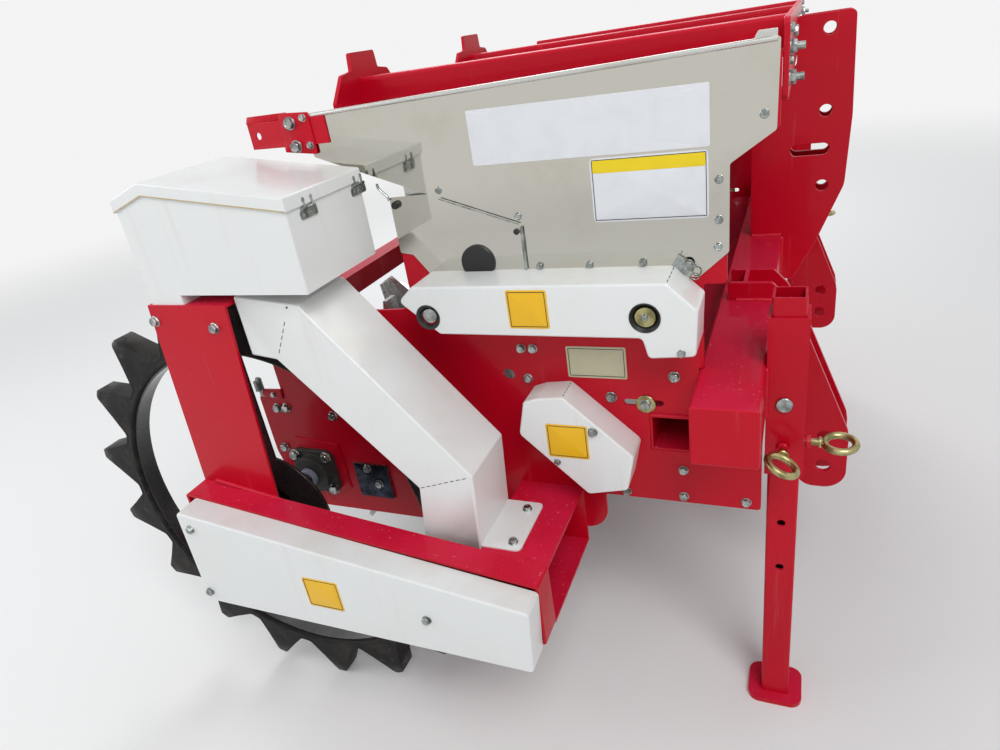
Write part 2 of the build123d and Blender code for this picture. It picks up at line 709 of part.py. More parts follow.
def wheel_frames():
    """Outer wheel beam with its cross channel, and the post that carries the storage box."""
    wall = frame_wall
    beam = [
        (frame_rear, frame_bottom, 6), (frame_rear, frame_rear_top, 6),
        (frame_front, frame_front_top, 4), (frame_front, frame_bottom, 6),
    ]
    face = outline(beam)
    hollow = offset(face, amount=-wall, kind=Kind.INTERSECTION)
    frame = side_slab(face, frame_in, frame_out) - side_slab(hollow, frame_in + wall, frame_out + 1)
    channel = block((cross_rear, frame_front), (side_out, frame_in), (frame_bottom, frame_front_top))
    channel -= block((cross_rear + wall, frame_front + 1), (side_out + wall, frame_in),
                     (frame_bottom + wall, frame_front_top - wall))
    frame += channel
    frame -= cross_rod(wheel_x, wheel_z, axle_radius + 9, frame_in - 1, frame_in + wall + 1)
    both_sides("wheel_frame", frame)

    rear = wheel_x - post_back
    front = rear + post_width
    post = [
        (rear, post_top, 4), (front, post_top, 4), (front - post_lean, post_bottom, 8),
        (rear - post_lean, post_bottom, 8),
    ]
    plate = side_slab(outline(post), frame_in - post_thick, frame_in)
    plate += block((rear, front), (side_out, frame_in), (post_top - post_thick, post_top))
    tab_z = (post_top - post_tab_drop, post_top)
    plate += block((rear + post_tab_back, front), (side_out, side_out + post_thick), tab_z)
    both_sides("box_post", plate)


def covers():
    """Chain covers on the outer wheel beam, on the polished plate and on the side plate."""
    rear = frame_rear + 20
    # x, z, corner radius
    outer = [
        (rear - 8, frame_bottom - 7, 8), (rear, frame_top(rear) - 3, 8),
        (frame_front, frame_front_top - 9, 8), (frame_front - 8, frame_bottom - 13, 8),
    ]
    both_sides("outer_chain_cover", shell_cover(outer, frame_out, frame_out + outer_cover_depth, cover_wall))

    # x, z, corner radius
    upper = [
        (metering_x - 22, metering_z + 53, 8), (agitator_x + 33, agitator_z + 53, 8),
        (agitator_x + 76, agitator_z + 11, 8), (agitator_x + 72, agitator_z - 62, 8),
        (agitator_x + 2, agitator_z - 67, 8), (agitator_x - 6, agitator_z - 34, 8),
        (metering_x + 16, metering_z - 31, 8), (metering_x - 52, metering_z + 27, 8),
    ]
    face_out = mirror_out + upper_cover_depth
    cover = shell_cover(upper, mirror_out, face_out, cover_wall)
    cover -= cross_rod(metering_x, metering_z, metering_window, mirror_out, face_out + 1)
    cover -= cross_rod(agitator_x, agitator_z, agitator_window, mirror_out, face_out + 1)
    both_sides("upper_chain_cover", cover)

    x, z = beam_rear - small_cover_back, small_cover_z
    # x, z, corner radius
    small = [
        (x - 86, z + 83, 8), (x - 60, z + 92, 10), (x - 14, z + 97, 12), (x + 101, z - 11, 12),
        (x + 86, z - 81, 10), (x + 15, z - 98, 10), (x - 102, z + 17, 12),
    ]
    both_sides("small_chain_cover", shell_cover(small, side_out, side_out + small_cover_depth, cover_wall))


def wheel_guard():
    """Folded guard over the wheel: a bent skin between two cheeks, with a foot on the wheel frame."""
    x, z, wall = wheel_x, frame_front_top - 15, guard_wall
    # x, z, corner radius along the skin from its rear end, then back along the cheek's inner edge
    skin = [(x + 121, z + 478, 3), (x + 248, z + 462, 6), (x + 500, z + 163, 6), (x + 490, z - 1, 3)]
    lower = [(x + 381, z + 17, 6), (x + 393, z + 127, 6), (x + 172, z + 364, 6), (x + 121, z + 371, 3)]
    guard = side_slab(outline(skin + lower), guard_in, guard_out)
    folds = [
        edge for edge in guard.edges().filter_by(Plane.XZ)
        if (edge.center() - Vector(x, edge.center().Y, z)).length > wheel_tip_radius
    ]
    guard = fillet(folds, cover_bend)
    inside = [
        (x + 121, z + 478 - wall, 0), (x + 247, z + 462 - wall, 6), (x + 500 - wall, z + 162, 6),
        (x + 490 - wall, z - 5, 0), (x + 363, z - 5, 0), (x + 363, z + 125, 0), (x + 153, z + 355, 0),
        (x + 113, z + 355, 0),
    ]
    guard -= side_slab(outline(inside), guard_in + wall, guard_out - wall)
    foot_out = guard_out - guard_foot_inset
    foot_in = guard_in + guard_foot_inset
    foot = [(x + 488, foot_in, 0), (x + 488, foot_out, 0), (x + 562, foot_out, 10), (x + 562, foot_in, 10)]
    guard += flat_slab(outline(foot), frame_front_top, frame_front_top + guard_foot_thick)
    both_sides("wheel_guard", guard)


def storage_box():
    """Open box on the post and its lid, which turns on hinges at the front edge."""
    floor, step = post_top + box_lift, box_rear + box_seat
    rear_top = floor + box_rear_height
    ridge_x, ridge_top = box_rear + box_ridge, floor + box_ridge_height
    front_top = floor + box_front_height
    profile = [
        (box_rear, post_top, 0), (box_rear, rear_top, 0), (ridge_x, ridge_top, 0), (box_front, front_top, 0),
        (box_front, floor, 0), (step, floor, 0), (step, post_top, 0),
    ]
    box = side_slab(outline(profile), box_in, box_out)
    box = fillet(box.edges().filter_by(Axis.Z), box_round)
    across = (box_in + box_wall, box_out - box_wall)
    box -= block((box_rear + box_wall, box_front - box_wall), across, (floor + box_wall, ridge_top + 1))
    box -= block((box_rear + box_wall, step - box_wall), across, (post_top + box_wall, floor + box_wall + 1))
    both_sides("storage_box", box)

    reach = lid_wall + lid_gap
    skirt = reach - lid_skirt
    outer = [
        (box_rear - reach, rear_top + skirt, 0), (box_rear - reach, rear_top + reach, 3),
        (ridge_x, ridge_top + reach, 3), (box_front + reach, front_top + reach, 3),
        (box_front + reach, front_top + skirt, 0), (ridge_x, ridge_top + skirt, 0),
    ]
    under = [
        (box_rear - lid_gap, rear_top - 2 * lid_skirt, 0), (box_rear - lid_gap, rear_top + lid_gap, 0),
        (ridge_x, ridge_top + lid_gap, 0), (box_front + lid_gap, front_top + lid_gap, 0),
        (box_front + lid_gap, front_top - 2 * lid_skirt, 0),
    ]
    lid = side_slab(outline(outer), box_in - reach, box_out + reach)
    folds = [edge for edge in lid.edges().filter_by(Plane.XZ) if edge.center().Z > ridge_top - lid_skirt]
    lid = fillet(folds, lid_wall)
    lid -= side_slab(outline(under), box_in - lid_gap, box_out + lid_gap)
    both_sides("box_lid", lid)


front_structure()
side_plates()
hopper()
rails()
metering()
planting_drum()
wheels()
wheel_frames()
covers()
wheel_guard()
storage_box()

for name, solid in nodes.items():
    export_step(solid, f"parts/{name}.step")
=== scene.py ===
"""Looks of the parked garlic planter: finishes, lug rings, fasteners, hinges, welds and blank plates.

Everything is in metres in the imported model's frame: +X to the tractor, +Y to the machine's left, +Z up.
New shapes are grids of points worked out with numpy, and "out" is the distance from the centre plane.
"""
import json
from math import pi, radians

import bmesh
import bpy
import numpy as np
from mathutils import Matrix, Vector


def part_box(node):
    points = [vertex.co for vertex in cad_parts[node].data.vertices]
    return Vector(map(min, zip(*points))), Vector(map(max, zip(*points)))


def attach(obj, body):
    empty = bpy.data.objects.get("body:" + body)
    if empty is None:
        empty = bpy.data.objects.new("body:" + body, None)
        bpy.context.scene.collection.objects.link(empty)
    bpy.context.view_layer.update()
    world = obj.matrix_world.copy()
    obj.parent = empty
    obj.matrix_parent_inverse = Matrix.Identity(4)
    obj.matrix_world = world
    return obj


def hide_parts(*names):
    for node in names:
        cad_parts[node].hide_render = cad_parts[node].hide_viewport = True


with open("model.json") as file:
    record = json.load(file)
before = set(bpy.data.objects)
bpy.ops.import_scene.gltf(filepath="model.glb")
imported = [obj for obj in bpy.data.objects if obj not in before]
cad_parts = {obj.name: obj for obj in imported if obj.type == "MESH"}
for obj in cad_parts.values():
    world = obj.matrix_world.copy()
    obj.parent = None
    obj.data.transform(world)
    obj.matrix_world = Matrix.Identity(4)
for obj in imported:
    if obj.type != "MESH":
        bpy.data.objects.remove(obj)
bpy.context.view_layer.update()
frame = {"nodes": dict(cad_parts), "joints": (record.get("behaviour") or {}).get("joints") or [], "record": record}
rng = np.random.default_rng(7)

# Sides with the sign of their y
SIDES = (("right", -1), ("left", 1))
# Ways that a piece on the right side may face
OUT, INWARD, UP, AHEAD = (0.0, -1.0, 0.0), (0.0, 1.0, 0.0), (0.0, 0.0, 1.0), (1.0, 0.0, 0.0)
MERGE = 2e-6                # points closer than this are one
SHARP = 32.0                # degrees between faces that still look smooth
SINK = 0.0002               # thin plates reach this far into the face they lie on


def middle_of(node):
    """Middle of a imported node's box."""
    low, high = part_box(node)
    return (low + high) / 2


def face_out(node):
    """Distance out of the outermost face of a node that each side has."""
    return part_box(f"{node}_left")[1].y


# Places read from the frame
plate_out = face_out("side_plate")
mirror_out = face_out("hopper_side")
small_out = face_out("small_chain_cover")
upper_out = face_out("upper_chain_cover")
outer_out = face_out("outer_chain_cover")
post_out = face_out("box_post")
guard_out = face_out("wheel_guard")
sleeve_out = face_out("stand_sleeve")
sleeve_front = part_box("stand_sleeve_left")[1].x
lap_out = face_out("rear_bracket") + 0.0025      # the lap on the rear bracket
flange_out = plate_out + 0.014                   # the wheel bearings' flanges
cap_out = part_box("drum_axle")[1].y + 0.0008      # the caps of the drum's axle
beam_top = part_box("front_beam")[1].z
bead_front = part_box("front_beam")[1].x - 0.0005  # foot of the welds on the beam's front
wheel_joint = next(joint for joint in frame["joints"] if joint["name"] == "wheel_left_spin")
WHEEL_X, WHEEL_OUT, WHEEL_Z = wheel_joint["pos_m"]
# Middles of the shafts behind the upper cover's windows, as (x, z)
AGITATOR, METERING = (0.460, 0.871), (0.0985, 0.869)


class Value:
    """A node socket that takes part in arithmetic: every operator adds one Math node."""

    def __init__(self, finish, socket):
        self.finish, self.socket = finish, socket

    def _join(self, operation, first, second, clamp=False):
        settings = {"operation": operation, "use_clamp": clamp}
        return self.finish.node("ShaderNodeMath", settings, {0: first, 1: second})

    def __add__(self, other):
        return self._join("ADD", self, other)

    def __sub__(self, other):
        return self._join("SUBTRACT", self, other)

    def __rsub__(self, other):
        return self._join("SUBTRACT", other, self)

    def __mul__(self, other):
        return self._join("MULTIPLY", self, other)

    def __pow__(self, other):
        return self._join("POWER", self, other)

    __radd__, __rmul__ = __add__, __mul__

    def clamped(self):
        """The value held between 0 and 1."""
        return self._join("ADD", self, 0.0, clamp=True)

    def between(self, low, high):
        """0 below low, 1 above high and a smooth step from one to the other."""
        settings = {"interpolation_type": "SMOOTHSTEP"}
        inputs = {"Value": self, "From Min": low, "From Max": high}
        return self.finish.node("ShaderNodeMapRange", settings, inputs)


class Finish:
    """A material built around one shader, with constants on its sockets and values linked where they vary."""

    def __init__(self, name, color, roughness, metallic=0.0, coat=0.0, coat_roughness=0.05, specular=0.5):
        self.material = bpy.data.materials.new(name)
        self.material.use_nodes = True
        self.tree = self.material.node_tree
        self.shader = self.tree.nodes["Principled BSDF"]
        self.material.diffuse_color = (*color, 1.0)
        self.set("Base Color", (*color, 1.0))
        self.set("Roughness", roughness)
        self.set("Metallic", metallic)
        self.set("Coat Weight", coat)
        self.set("Coat Roughness", coat_roughness)
        self.set("Specular IOR Level", specular)
        coords = self.tree.nodes.new("ShaderNodeTexCoord")
        self.place = Value(self, coords.outputs["Object"])

    def set(self, socket, value):
        """Give a shader socket a constant or a link."""
        if isinstance(value, Value):
            self.tree.links.new(value.socket, self.shader.inputs[socket])
        else:
            self.shader.inputs[socket].default_value = value

    def node(self, kind, settings, inputs, output=0):
        """Add a node: its settings first, then the values or links of its sockets."""
        node = self.tree.nodes.new(kind)
        for name, value in settings.items():
            setattr(node, name, value)
        for key, value in inputs.items():
            if isinstance(value, Value):
                self.tree.links.new(value.socket, node.inputs[key])
            else:
                node.inputs[key].default_value = value
        return Value(self, node.outputs[output])

    def scaled(self, x, y, z):
        """Object coordinates stretched along each axis."""
        return self.node("ShaderNodeMapping", {}, {"Vector": self.place, "Scale": (x, y, z)})

    def noise(self, scale, detail=3.0, rough=0.5, where=None):
        """Noise from 0 to 1 with features of about 1 / scale metres."""
        inputs = {"Vector": where or self.place, "Scale": scale, "Detail": detail, "Roughness": rough}
        return self.node("ShaderNodeTexNoise", {}, inputs)

    def cells(self, scale):
        """Distance to the nearest of random points spaced about 1 / scale metres."""
        return self.node("ShaderNodeTexVoronoi", {}, {"Vector": self.place, "Scale": scale})

    def mix(self, factor, first, second):
        """Colour between first and second, each a linked value or the three channels of a colour."""
        first, second = (c if isinstance(c, Value) else (*c, 1.0) for c in (first, second))
        return self.node("ShaderNodeMix", {"data_type": "RGBA"}, {0: factor, 6: first, 7: second}, 2)

    def facing_up(self, low, high):
        """Smooth mask of how far the surface turns upwards: its normal's z, from low to high."""
        normal = self.node("ShaderNodeTexCoord", {}, {}, "Normal")
        return self.node("ShaderNodeSeparateXYZ", {}, {0: normal}, "Z").between(low, high)

    def coordinate(self, axis):
        """One of the object coordinates."""
        return self.node("ShaderNodeSeparateXYZ", {}, {0: self.place}, axis)

    def radius(self, centre):
        """Distance from a centre in the side view: the root of the sum of the squares of its x and z."""
        x, z = self.coordinate("X") - centre[0], self.coordinate("Z") - centre[1]
        return (x * x + z * z) ** 0.5

    def bump(self, height, distance, strength):
        """Link a height pattern to the shader's normal."""
        inputs = {"Height": height, "Distance": distance, "Strength": strength}
        self.set("Normal", self.node("ShaderNodeBump", {}, inputs))


def rgb(red, green, blue):
    """Linear colour of an 8-bit display colour."""
    values = np.array([red, green, blue]) / 255
    linear = np.where(values <= 0.04045, values / 12.92, ((values + 0.055) / 1.055) ** 2.4)
    return tuple(float(v) for v in linear)


def dusted(finish, base, dust, amount):
    """Base colour with faint dust where the surface faces up and in soft patches, and the dust's film."""
    patches = finish.noise(9.0, 5.0, 0.6).between(0.42, 0.72)
    film = (finish.facing_up(0.2, 1.0) * 0.8 + 0.2) * patches * amount
    return finish.mix(film.clamped(), base, dust), film


def red_finish():
    """Gloss crimson enamel: orange peel, pale dust with a painted pink sky reflection on top faces, and fine
    scuffs.
    """
    color = rgb(188, 4, 32)
    finish = Finish("crimson_enamel", color, 0.3, coat=0.12, coat_roughness=0.08, specular=0.16)
    shade = finish.noise(2.3, 4.0).between(0.3, 0.7) * 0.3
    body = finish.mix(shade, color, rgb(168, 4, 28))
    # top faces get pale dust and a painted pink sheen that stands in for the sky's reflection
    top = finish.facing_up(0.55, 0.98)
    film = top * (finish.noise(7.0, 5.0, 0.6).between(0.3, 0.75) * 0.24 + 0.16)
    body = finish.mix(film, body, rgb(226, 44, 92))
    grit = finish.noise(170.0, 2.0).between(0.67, 0.74) * top * 0.4
    scratch = finish.noise(60.0, 4.0, 0.7, finish.scaled(1.0, 0.05, 1.0)).between(0.66, 0.7)
    scratch = scratch * top * finish.noise(5.0).between(0.52, 0.6) * 0.55
    run = finish.noise(46.0, 4.0, 0.6, finish.scaled(1.0, 1.0, 0.06)).between(0.62, 0.8)
    run = run * (1.0 - top) * 0.16
    body = finish.mix((grit + scratch + run).clamped(), body, rgb(214, 140, 140))
    finish.set("Base Color", body)
    finish.set("Roughness", film * 0.8 + finish.noise(30.0, 3.0) * 0.12 + 0.24)
    finish.bump(finish.noise(420.0, 2.0) * 0.5 + finish.noise(110.0, 2.0) * 0.5, 0.0004, 0.3)
    return finish.material


def cream_finish():
    """Off-white enamel on pressed sheet: faint run-off streaks, fine rust specks and soft dust."""
    color = rgb(222, 224, 223)
    finish = Finish("cream_enamel", color, 0.34, coat=0.35, coat_roughness=0.12)
    body, film = dusted(finish, color, rgb(204, 200, 188), 0.4)
    streaks = finish.noise(38.0, 4.0, 0.6, finish.scaled(1.0, 1.0, 0.07)).between(0.56, 0.8)
    streaks = streaks * (1.0 - finish.facing_up(0.3, 0.8)) * 0.16
    body = finish.mix(streaks, body, rgb(186, 170, 136))
    specks = (1.0 - finish.cells(46.0).between(0.03, 0.06)) * finish.noise(8.0).between(0.56, 0.66) * 0.6
    body = finish.mix(specks, body, rgb(150, 96, 44))
    finish.set("Base Color", body)
    finish.set("Roughness", film * 0.3 + finish.noise(26.0, 3.0) * 0.14 + 0.24)
    finish.bump(finish.noise(300.0, 2.0) * 0.5 + finish.noise(14.0, 2.0) * 2.0, 0.0005, 0.3)
    return finish.material


def mirror_finish():
    """Polished stainless sheet: near mirror with long soft waves, hairlines and a little haze."""
    color = rgb(200, 197, 188)
    finish = Finish("polished_stainless", color, 0.05, metallic=1.0)
    haze = finish.noise(7.0, 5.0, 0.6).between(0.5, 0.85)
    hairline = finish.noise(900.0, 2.0, 0.5, finish.scaled(0.02, 1.0, 1.0))
    finish.set("Roughness", haze * 0.06 + hairline * 0.03 + 0.02)
    finish.set("Base Color", finish.mix(haze * 0.4, color, rgb(172, 164, 146)))
    finish.bump(finish.noise(2.6, 2.0) * 3.0 + hairline * 0.01, 0.003, 0.35)
    return finish.material


def stainless_finish():
    """Brushed stainless sheet with cross grain and dull patches where seed has rubbed it."""
    finish = Finish("brushed_stainless", rgb(196, 196, 192), 0.32, metallic=1.0)
    grain = finish.noise(700.0, 2.0, 0.5, finish.scaled(1.0, 0.03, 1.0))
    dull = finish.noise(6.0, 4.0).between(0.4, 0.75)
    finish.set("Roughness", grain * 0.14 + dull * 0.16 + 0.2)
    finish.set("Base Color", finish.mix(dull * 0.5, rgb(204, 204, 200), rgb(164, 160, 148)))
    finish.bump(grain, 0.0002, 0.25)
    return finish.material


def rubber_finish():
    """Moulded rubber, nearly black, with pale soil in soft patches and worn grey towards the lugs' tips."""
    color = rgb(23, 22, 23)
    finish = Finish("moulded_rubber", color, 0.62, specular=0.16)
    soil = finish.noise(16.0, 6.0, 0.65).between(0.44, 0.7)
    fine = finish.noise(120.0, 3.0)
    body = finish.mix(soil * 0.3, color, rgb(84, 80, 72))
    body = finish.mix(finish.noise(45.0, 4.0).between(0.6, 0.75) * 0.2, body, rgb(104, 98, 86))
    worn = finish.radius((WHEEL_X, WHEEL_Z)).between(0.425, 0.466)
    worn = worn * finish.noise(38.0, 4.0).between(0.3, 0.65)
    body = finish.mix(worn * 0.45, body, rgb(118, 116, 113))
    finish.set("Base Color", body)
    finish.set("Roughness", soil * 0.2 + fine * 0.12 + 0.46)
    finish.bump(fine * 0.6 + finish.noise(520.0, 2.0) * 0.4, 0.0008, 0.4)
    return finish.material


def black_finish():
    """Black enamel on pressed steel with a grey film of dust."""
    color = rgb(26, 26, 28)
    finish = Finish("black_enamel", color, 0.3, coat=0.45, coat_roughness=0.12)
    body, film = dusted(finish, color, rgb(96, 92, 84), 0.5)
    finish.set("Base Color", body)
    finish.set("Roughness", film * 0.3 + finish.noise(40.0) * 0.14 + 0.2)
    finish.bump(finish.noise(260.0, 2.0), 0.0004, 0.35)
    return finish.material


def iron_finish():
    """Black-coated cast iron with a sandy skin."""
    finish = Finish("coated_iron", rgb(52, 52, 55), 0.5, metallic=0.4)
    mottle = finish.noise(22.0, 4.0)
    finish.set("Base Color", finish.mix(mottle, rgb(42, 42, 45), rgb(78, 76, 72)))
    finish.bump(finish.noise(380.0, 3.0), 0.0008, 0.5)
    return finish.material


def plated_finish(name, bright, dull, roughness):
    """Plated steel: bright metal with cloudy duller patches and a fine grain."""
    finish = Finish(name, bright, roughness, metallic=1.0)
    cloud = finish.noise(60.0, 4.0, 0.6).between(0.35, 0.7)
    finish.set("Base Color", finish.mix(cloud, bright, dull))
    finish.set("Roughness", cloud * 0.2 + roughness - 0.08)
    finish.bump(finish.noise(600.0, 2.0), 0.0002, 0.3)
    return finish.material


def drum_finish():
    """Galvanised drum: grey zinc, worn bright at the beaks' tips, with brown soil in soft patches."""
    color = rgb(150, 152, 154)
    finish = Finish("worn_galvanised", color, 0.42, metallic=0.85)
    centre = middle_of("planting_drum")
    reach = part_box("planting_drum")[1].z - centre.z
    worn = finish.radius((centre.x, centre.z)).between(reach * 0.8, reach * 0.98)
    soil = finish.noise(24.0, 6.0, 0.65).between(0.45, 0.7) * 0.6
    body = finish.mix(soil, color, rgb(118, 102, 82))
    body = finish.mix(worn * 0.8, body, rgb(196, 196, 194))
    finish.set("Base Color", body)
    finish.set("Roughness", soil * 0.4 + 0.36 - worn * 0.14)
    finish.bump(finish.noise(90.0, 4.0), 0.0006, 0.4)
    return finish.material


def plain_finish(name, color, roughness):
    """Moulded or printed surface in one tone with slight wear and a fine grain."""
    finish = Finish(name, color, roughness)
    darker = tuple(channel * 0.78 for channel in color)
    wear = finish.noise(30.0, 4.0).between(0.4, 0.8) * 0.25
    grain = finish.noise(200.0, 2.0)
    finish.set("Base Color", finish.mix(wear, color, darker))
    finish.set("Roughness", grain * 0.12 + roughness - 0.06)
    finish.bump(grain, 0.0002, 0.3)
    return finish.material


def ground_finish():
    """Pale floor: a diffuse surface that fades into the backdrop's white with distance."""
    finish = Finish("pale_floor", (0.80, 0.80, 0.79), 0.85, specular=0.2)
    across, along = finish.coordinate("X"), finish.coordinate("Y")
    away = (across * across + along * along) ** 0.5
    glow = finish.tree.nodes.new("ShaderNodeEmission")
    glow.inputs["Color"].default_value = (*BACKDROP, 1.0)
    blend = finish.tree.nodes.new("ShaderNodeMixShader")
    output = finish.tree.nodes["Material Output"]
    finish.tree.links.new(away.between(2.5, 7.0).socket, blend.inputs[0])
    finish.tree.links.new(finish.shader.outputs[0], blend.inputs[1])
    finish.tree.links.new(glow.outputs[0], blend.inputs[2])
    finish.tree.links.new(blend.outputs[0], output.inputs["Surface"])
    return finish.material


BACKDROP = (0.90, 0.90, 0.90)
RED = red_finish()
CREAM = cream_finish()
MIRROR = mirror_finish()
STAINLESS = stainless_finish()
RUBBER = rubber_finish()
BLACK = black_finish()
IRON = iron_finish()
ZINC = plated_finish("bright_zinc", rgb(176, 182, 180), rgb(112, 116, 114), 0.3)
BRASSY = plated_finish("yellow_chromate", rgb(184, 176, 126), rgb(124, 116, 80), 0.34)
DRUM = drum_finish()
BLUED = plated_finish("blued_steel", rgb(62, 66, 80), rgb(34, 36, 46), 0.4)
GREY = plain_finish("grey_plastic", rgb(96, 100, 102), 0.5)
CAP = plain_finish("pale_grey_plastic", rgb(128, 132, 148), 0.45)
PLASTIC = plain_finish("black_plastic", rgb(24, 24, 26), 0.42)
STICKER = plain_finish("yellow_film", rgb(232, 180, 14), 0.38)
BAND = plain_finish("lemon_film", rgb(226, 198, 8), 0.38)
WHITE = plain_finish("white_film", rgb(214, 216, 220), 0.36)
STAIN = plain_finish("yellowed_edge", rgb(182, 160, 104), 0.5)
PLATE = plain_finish("printed_plate", rgb(196, 192, 160), 0.36)
# painted shade of the lugs' small dimples
SHADE = plain_finish("dark_recess", rgb(7, 7, 8), 0.85)
# black print for the border lines, and painted shade in the fold slots
PRINT_AND_SLOT_SHADE = plain_finish("black_print", rgb(30, 32, 40), 0.4)

SLOT_FINISH = {
    "red_paint": RED, "cream_paint": CREAM, "mirror_steel": MIRROR, "stainless": STAINLESS, "rubber": RUBBER,
    "black_paint": BLACK, "bearing_iron": IRON, "zinc_steel": ZINC, "drum_steel": DRUM, "grey_plastic": GREY,
}


def dress_nodes():
    """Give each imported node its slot's finish."""
    slots = {row["node"]: row["material_slot"] for row in frame["record"]["subparts"]}
    for name, node in frame["nodes"].items():
        node.data.materials.clear()
        node.data.materials.append(SLOT_FINISH[slots[name]])
    return slots


NODE_SLOTS = dress_nodes()


def face_grid(rows, columns, wrap_rows):
    """Corner numbers of the faces between neighbouring points of a grid, row by row."""
    row, column = np.divmod(np.arange((rows - (not wrap_rows)) * columns), columns)
    next_row, next_column = (row + 1) % rows, (column + 1) % columns
    corners = [(row, column), (row, next_column), (next_row, next_column), (next_row, column)]
    return np.stack([down * columns + along for down, along in corners], 1)


def surface(points, wrap_rows=False):
    """Patch from a grid of points, rows by columns by 3, or from any number of copies of such a grid.

    Every row closes into a ring, and wrap_rows also joins the last row to the first.
    """
    points = np.asarray(points, float)
    copies = points.reshape(-1, *points.shape[-3:])
    count, rows, columns = copies.shape[:3]
    faces = face_grid(rows, columns, wrap_rows)
    starts = np.arange(count)[:, None, None] * (rows * columns)
    return copies.reshape(-1, 3), (faces[None] + starts).reshape(-1, 4)


def add_piece(name, mesh, finish, body, sharp=SHARP, edge=0.0):
    """Object of a mesh with its finish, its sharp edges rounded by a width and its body."""
    mesh.shade_smooth()
    mesh.set_sharp_from_angle(angle=radians(sharp))
    mesh.materials.clear()
    mesh.materials.append(finish)
    piece = bpy.data.objects.new(name, mesh)
    bpy.context.scene.collection.objects.link(piece)
    if edge:
        soften(piece, edge)
    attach(piece, body)
    return piece


def soften(piece, width):
    """Round the sharp edges of a piece a little and even out its shading."""
    edge = piece.modifiers.new("edge", "BEVEL")
    edge.width, edge.segments = width, 2
    edge.limit_method, edge.angle_limit = "ANGLE", radians(35.0)
    edge.use_clamp_overlap = True
    edge.harden_normals = True


def solid(name, patches, finish, body="chassis", sharp=SHARP):
    """One object of closed patches: joined, doubled points merged, lost corners dropped, faces turned out."""
    sizes = np.cumsum([0] + [len(points) for points, _ in patches])
    points = np.concatenate([points for points, _ in patches])
    faces = np.concatenate([faces + start for (_, faces), start in zip(patches, sizes)])
    owner = np.repeat(np.arange(len(patches)), np.diff(sizes))
    keys = np.column_stack([np.round(points / MERGE).astype(np.int64), owner])
    _, first, merged = np.unique(keys, axis=0, return_index=True, return_inverse=True)
    points, faces = points[first], merged.reshape(-1)[faces]
    distinct = faces != np.roll(faces, -1, axis=1)
    counts = distinct.sum(1)
    whole = counts >= 3
    corners, counts = faces[whole][distinct[whole]], counts[whole]
    mesh = bpy.data.meshes.new(name)
    mesh.vertices.add(len(points))
    mesh.vertices.foreach_set("co", points.astype(np.float32).ravel())
    mesh.loops.add(len(corners))
    mesh.loops.foreach_set("vertex_index", corners.astype(np.int32))
    mesh.polygons.add(len(counts))
    starts = np.concatenate([[0], np.cumsum(counts)[:-1]])
    mesh.polygons.foreach_set("loop_start", starts.astype(np.int32))
    mesh.update(calc_edges=True)
    mesh.validate()
    work = bmesh.new()
    work.from_mesh(mesh)
    bmesh.ops.recalc_face_normals(work, faces=work.faces)
    work.to_mesh(mesh)
    work.free()
    return add_piece(name, mesh, finish, body, sharp)


def finished_copies(rows):
    """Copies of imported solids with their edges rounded, each standing for its node.

    The loose triangles are merged and flat faces joined first, so that only real edges are rounded.
    """
    bodies = {node: body for body, nodes in frame["record"]["behaviour"]["bodies"].items() for node in nodes}
    for name, width in rows:
        slot = NODE_SLOTS[name]
        work = bmesh.new()
        work.from_mesh(frame["nodes"][name].data)
        bmesh.ops.remove_doubles(work, verts=work.verts, dist=MERGE)
        bmesh.ops.dissolve_limit(work, angle_limit=radians(0.5), verts=work.verts, edges=work.edges)
        mesh = bpy.data.meshes.new(f"{name}_finished")
        work.to_mesh(mesh)
        work.free()
        piece = add_piece(f"{name}_finished", mesh, SLOT_FINISH[slot], bodies[name], edge=width)
        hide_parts(name)


def mirrored(patch):
    """The same patch on the other side of the centre plane."""
    points, faces = patch
    return points * (1, -1, 1), faces


def both(patches):
    """Patches of the right side and their mirror images on the left."""
    return list(patches) + [mirrored(patch) for patch in patches]


def on_side(patches, sign):
    """The right side's patches as they are, or their mirror images where the sign is that of the left."""
    return patches if sign < 0 else [mirrored(patch) for patch in patches]


def circle_turns(count):
    """Angles of even steps round a circle."""
    return np.arange(count) * 2 * pi / count


def rounded(corners, radii, steps=5):
    """Closed outline with rounded corners: every corner becomes an arc between the two edges it touches.

    The arc's centre lies on the corner's bisector at radius / sin(half angle), and its points turn evenly
    from one edge's normal to the other's.
    """
    corners = np.asarray(corners, float)
    radii = np.broadcast_to(np.asarray(radii, float), len(corners))[:, None]
    back, ahead = np.roll(corners, 1, 0) - corners, np.roll(corners, -1, 0) - corners
    back /= np.linalg.norm(back, axis=1, keepdims=True)
    ahead /= np.linalg.norm(ahead, axis=1, keepdims=True)
    half = np.arccos(np.clip((back * ahead).sum(1, keepdims=True), -1, 1)) / 2
    tangent = radii / np.tan(half)
    bisector = (back + ahead) / np.linalg.norm(back + ahead, axis=1, keepdims=True)
    centre = corners + bisector * radii / np.sin(half)
    start, end = corners + back * tangent - centre, corners + ahead * tangent - centre
    sweep = (pi - 2 * half)[:, None]
    step = np.linspace(0, 1, steps)[None, :, None]
    arcs = (np.sin((1 - step) * sweep) * start[:, None] + np.sin(step * sweep) * end[:, None]) / np.sin(sweep)
    return (centre[:, None] + arcs).reshape(-1, 2)


def rectangle(x0, x1, z0, z1, radius, steps=5):
    """Outline of a rectangle with rounded corners."""
    return rounded([(x0, z0), (x1, z0), (x1, z1), (x0, z1)], radius, steps)


def upright(flat, out):
    """Points of a drawing on a side face: x, z in metres, at the distance out to the right side."""
    flat = np.asarray(flat, float)
    out = np.broadcast_to(np.asarray(out, float), flat.shape[:-1])
    return np.stack([flat[..., 0], -out, flat[..., 1]], -1)


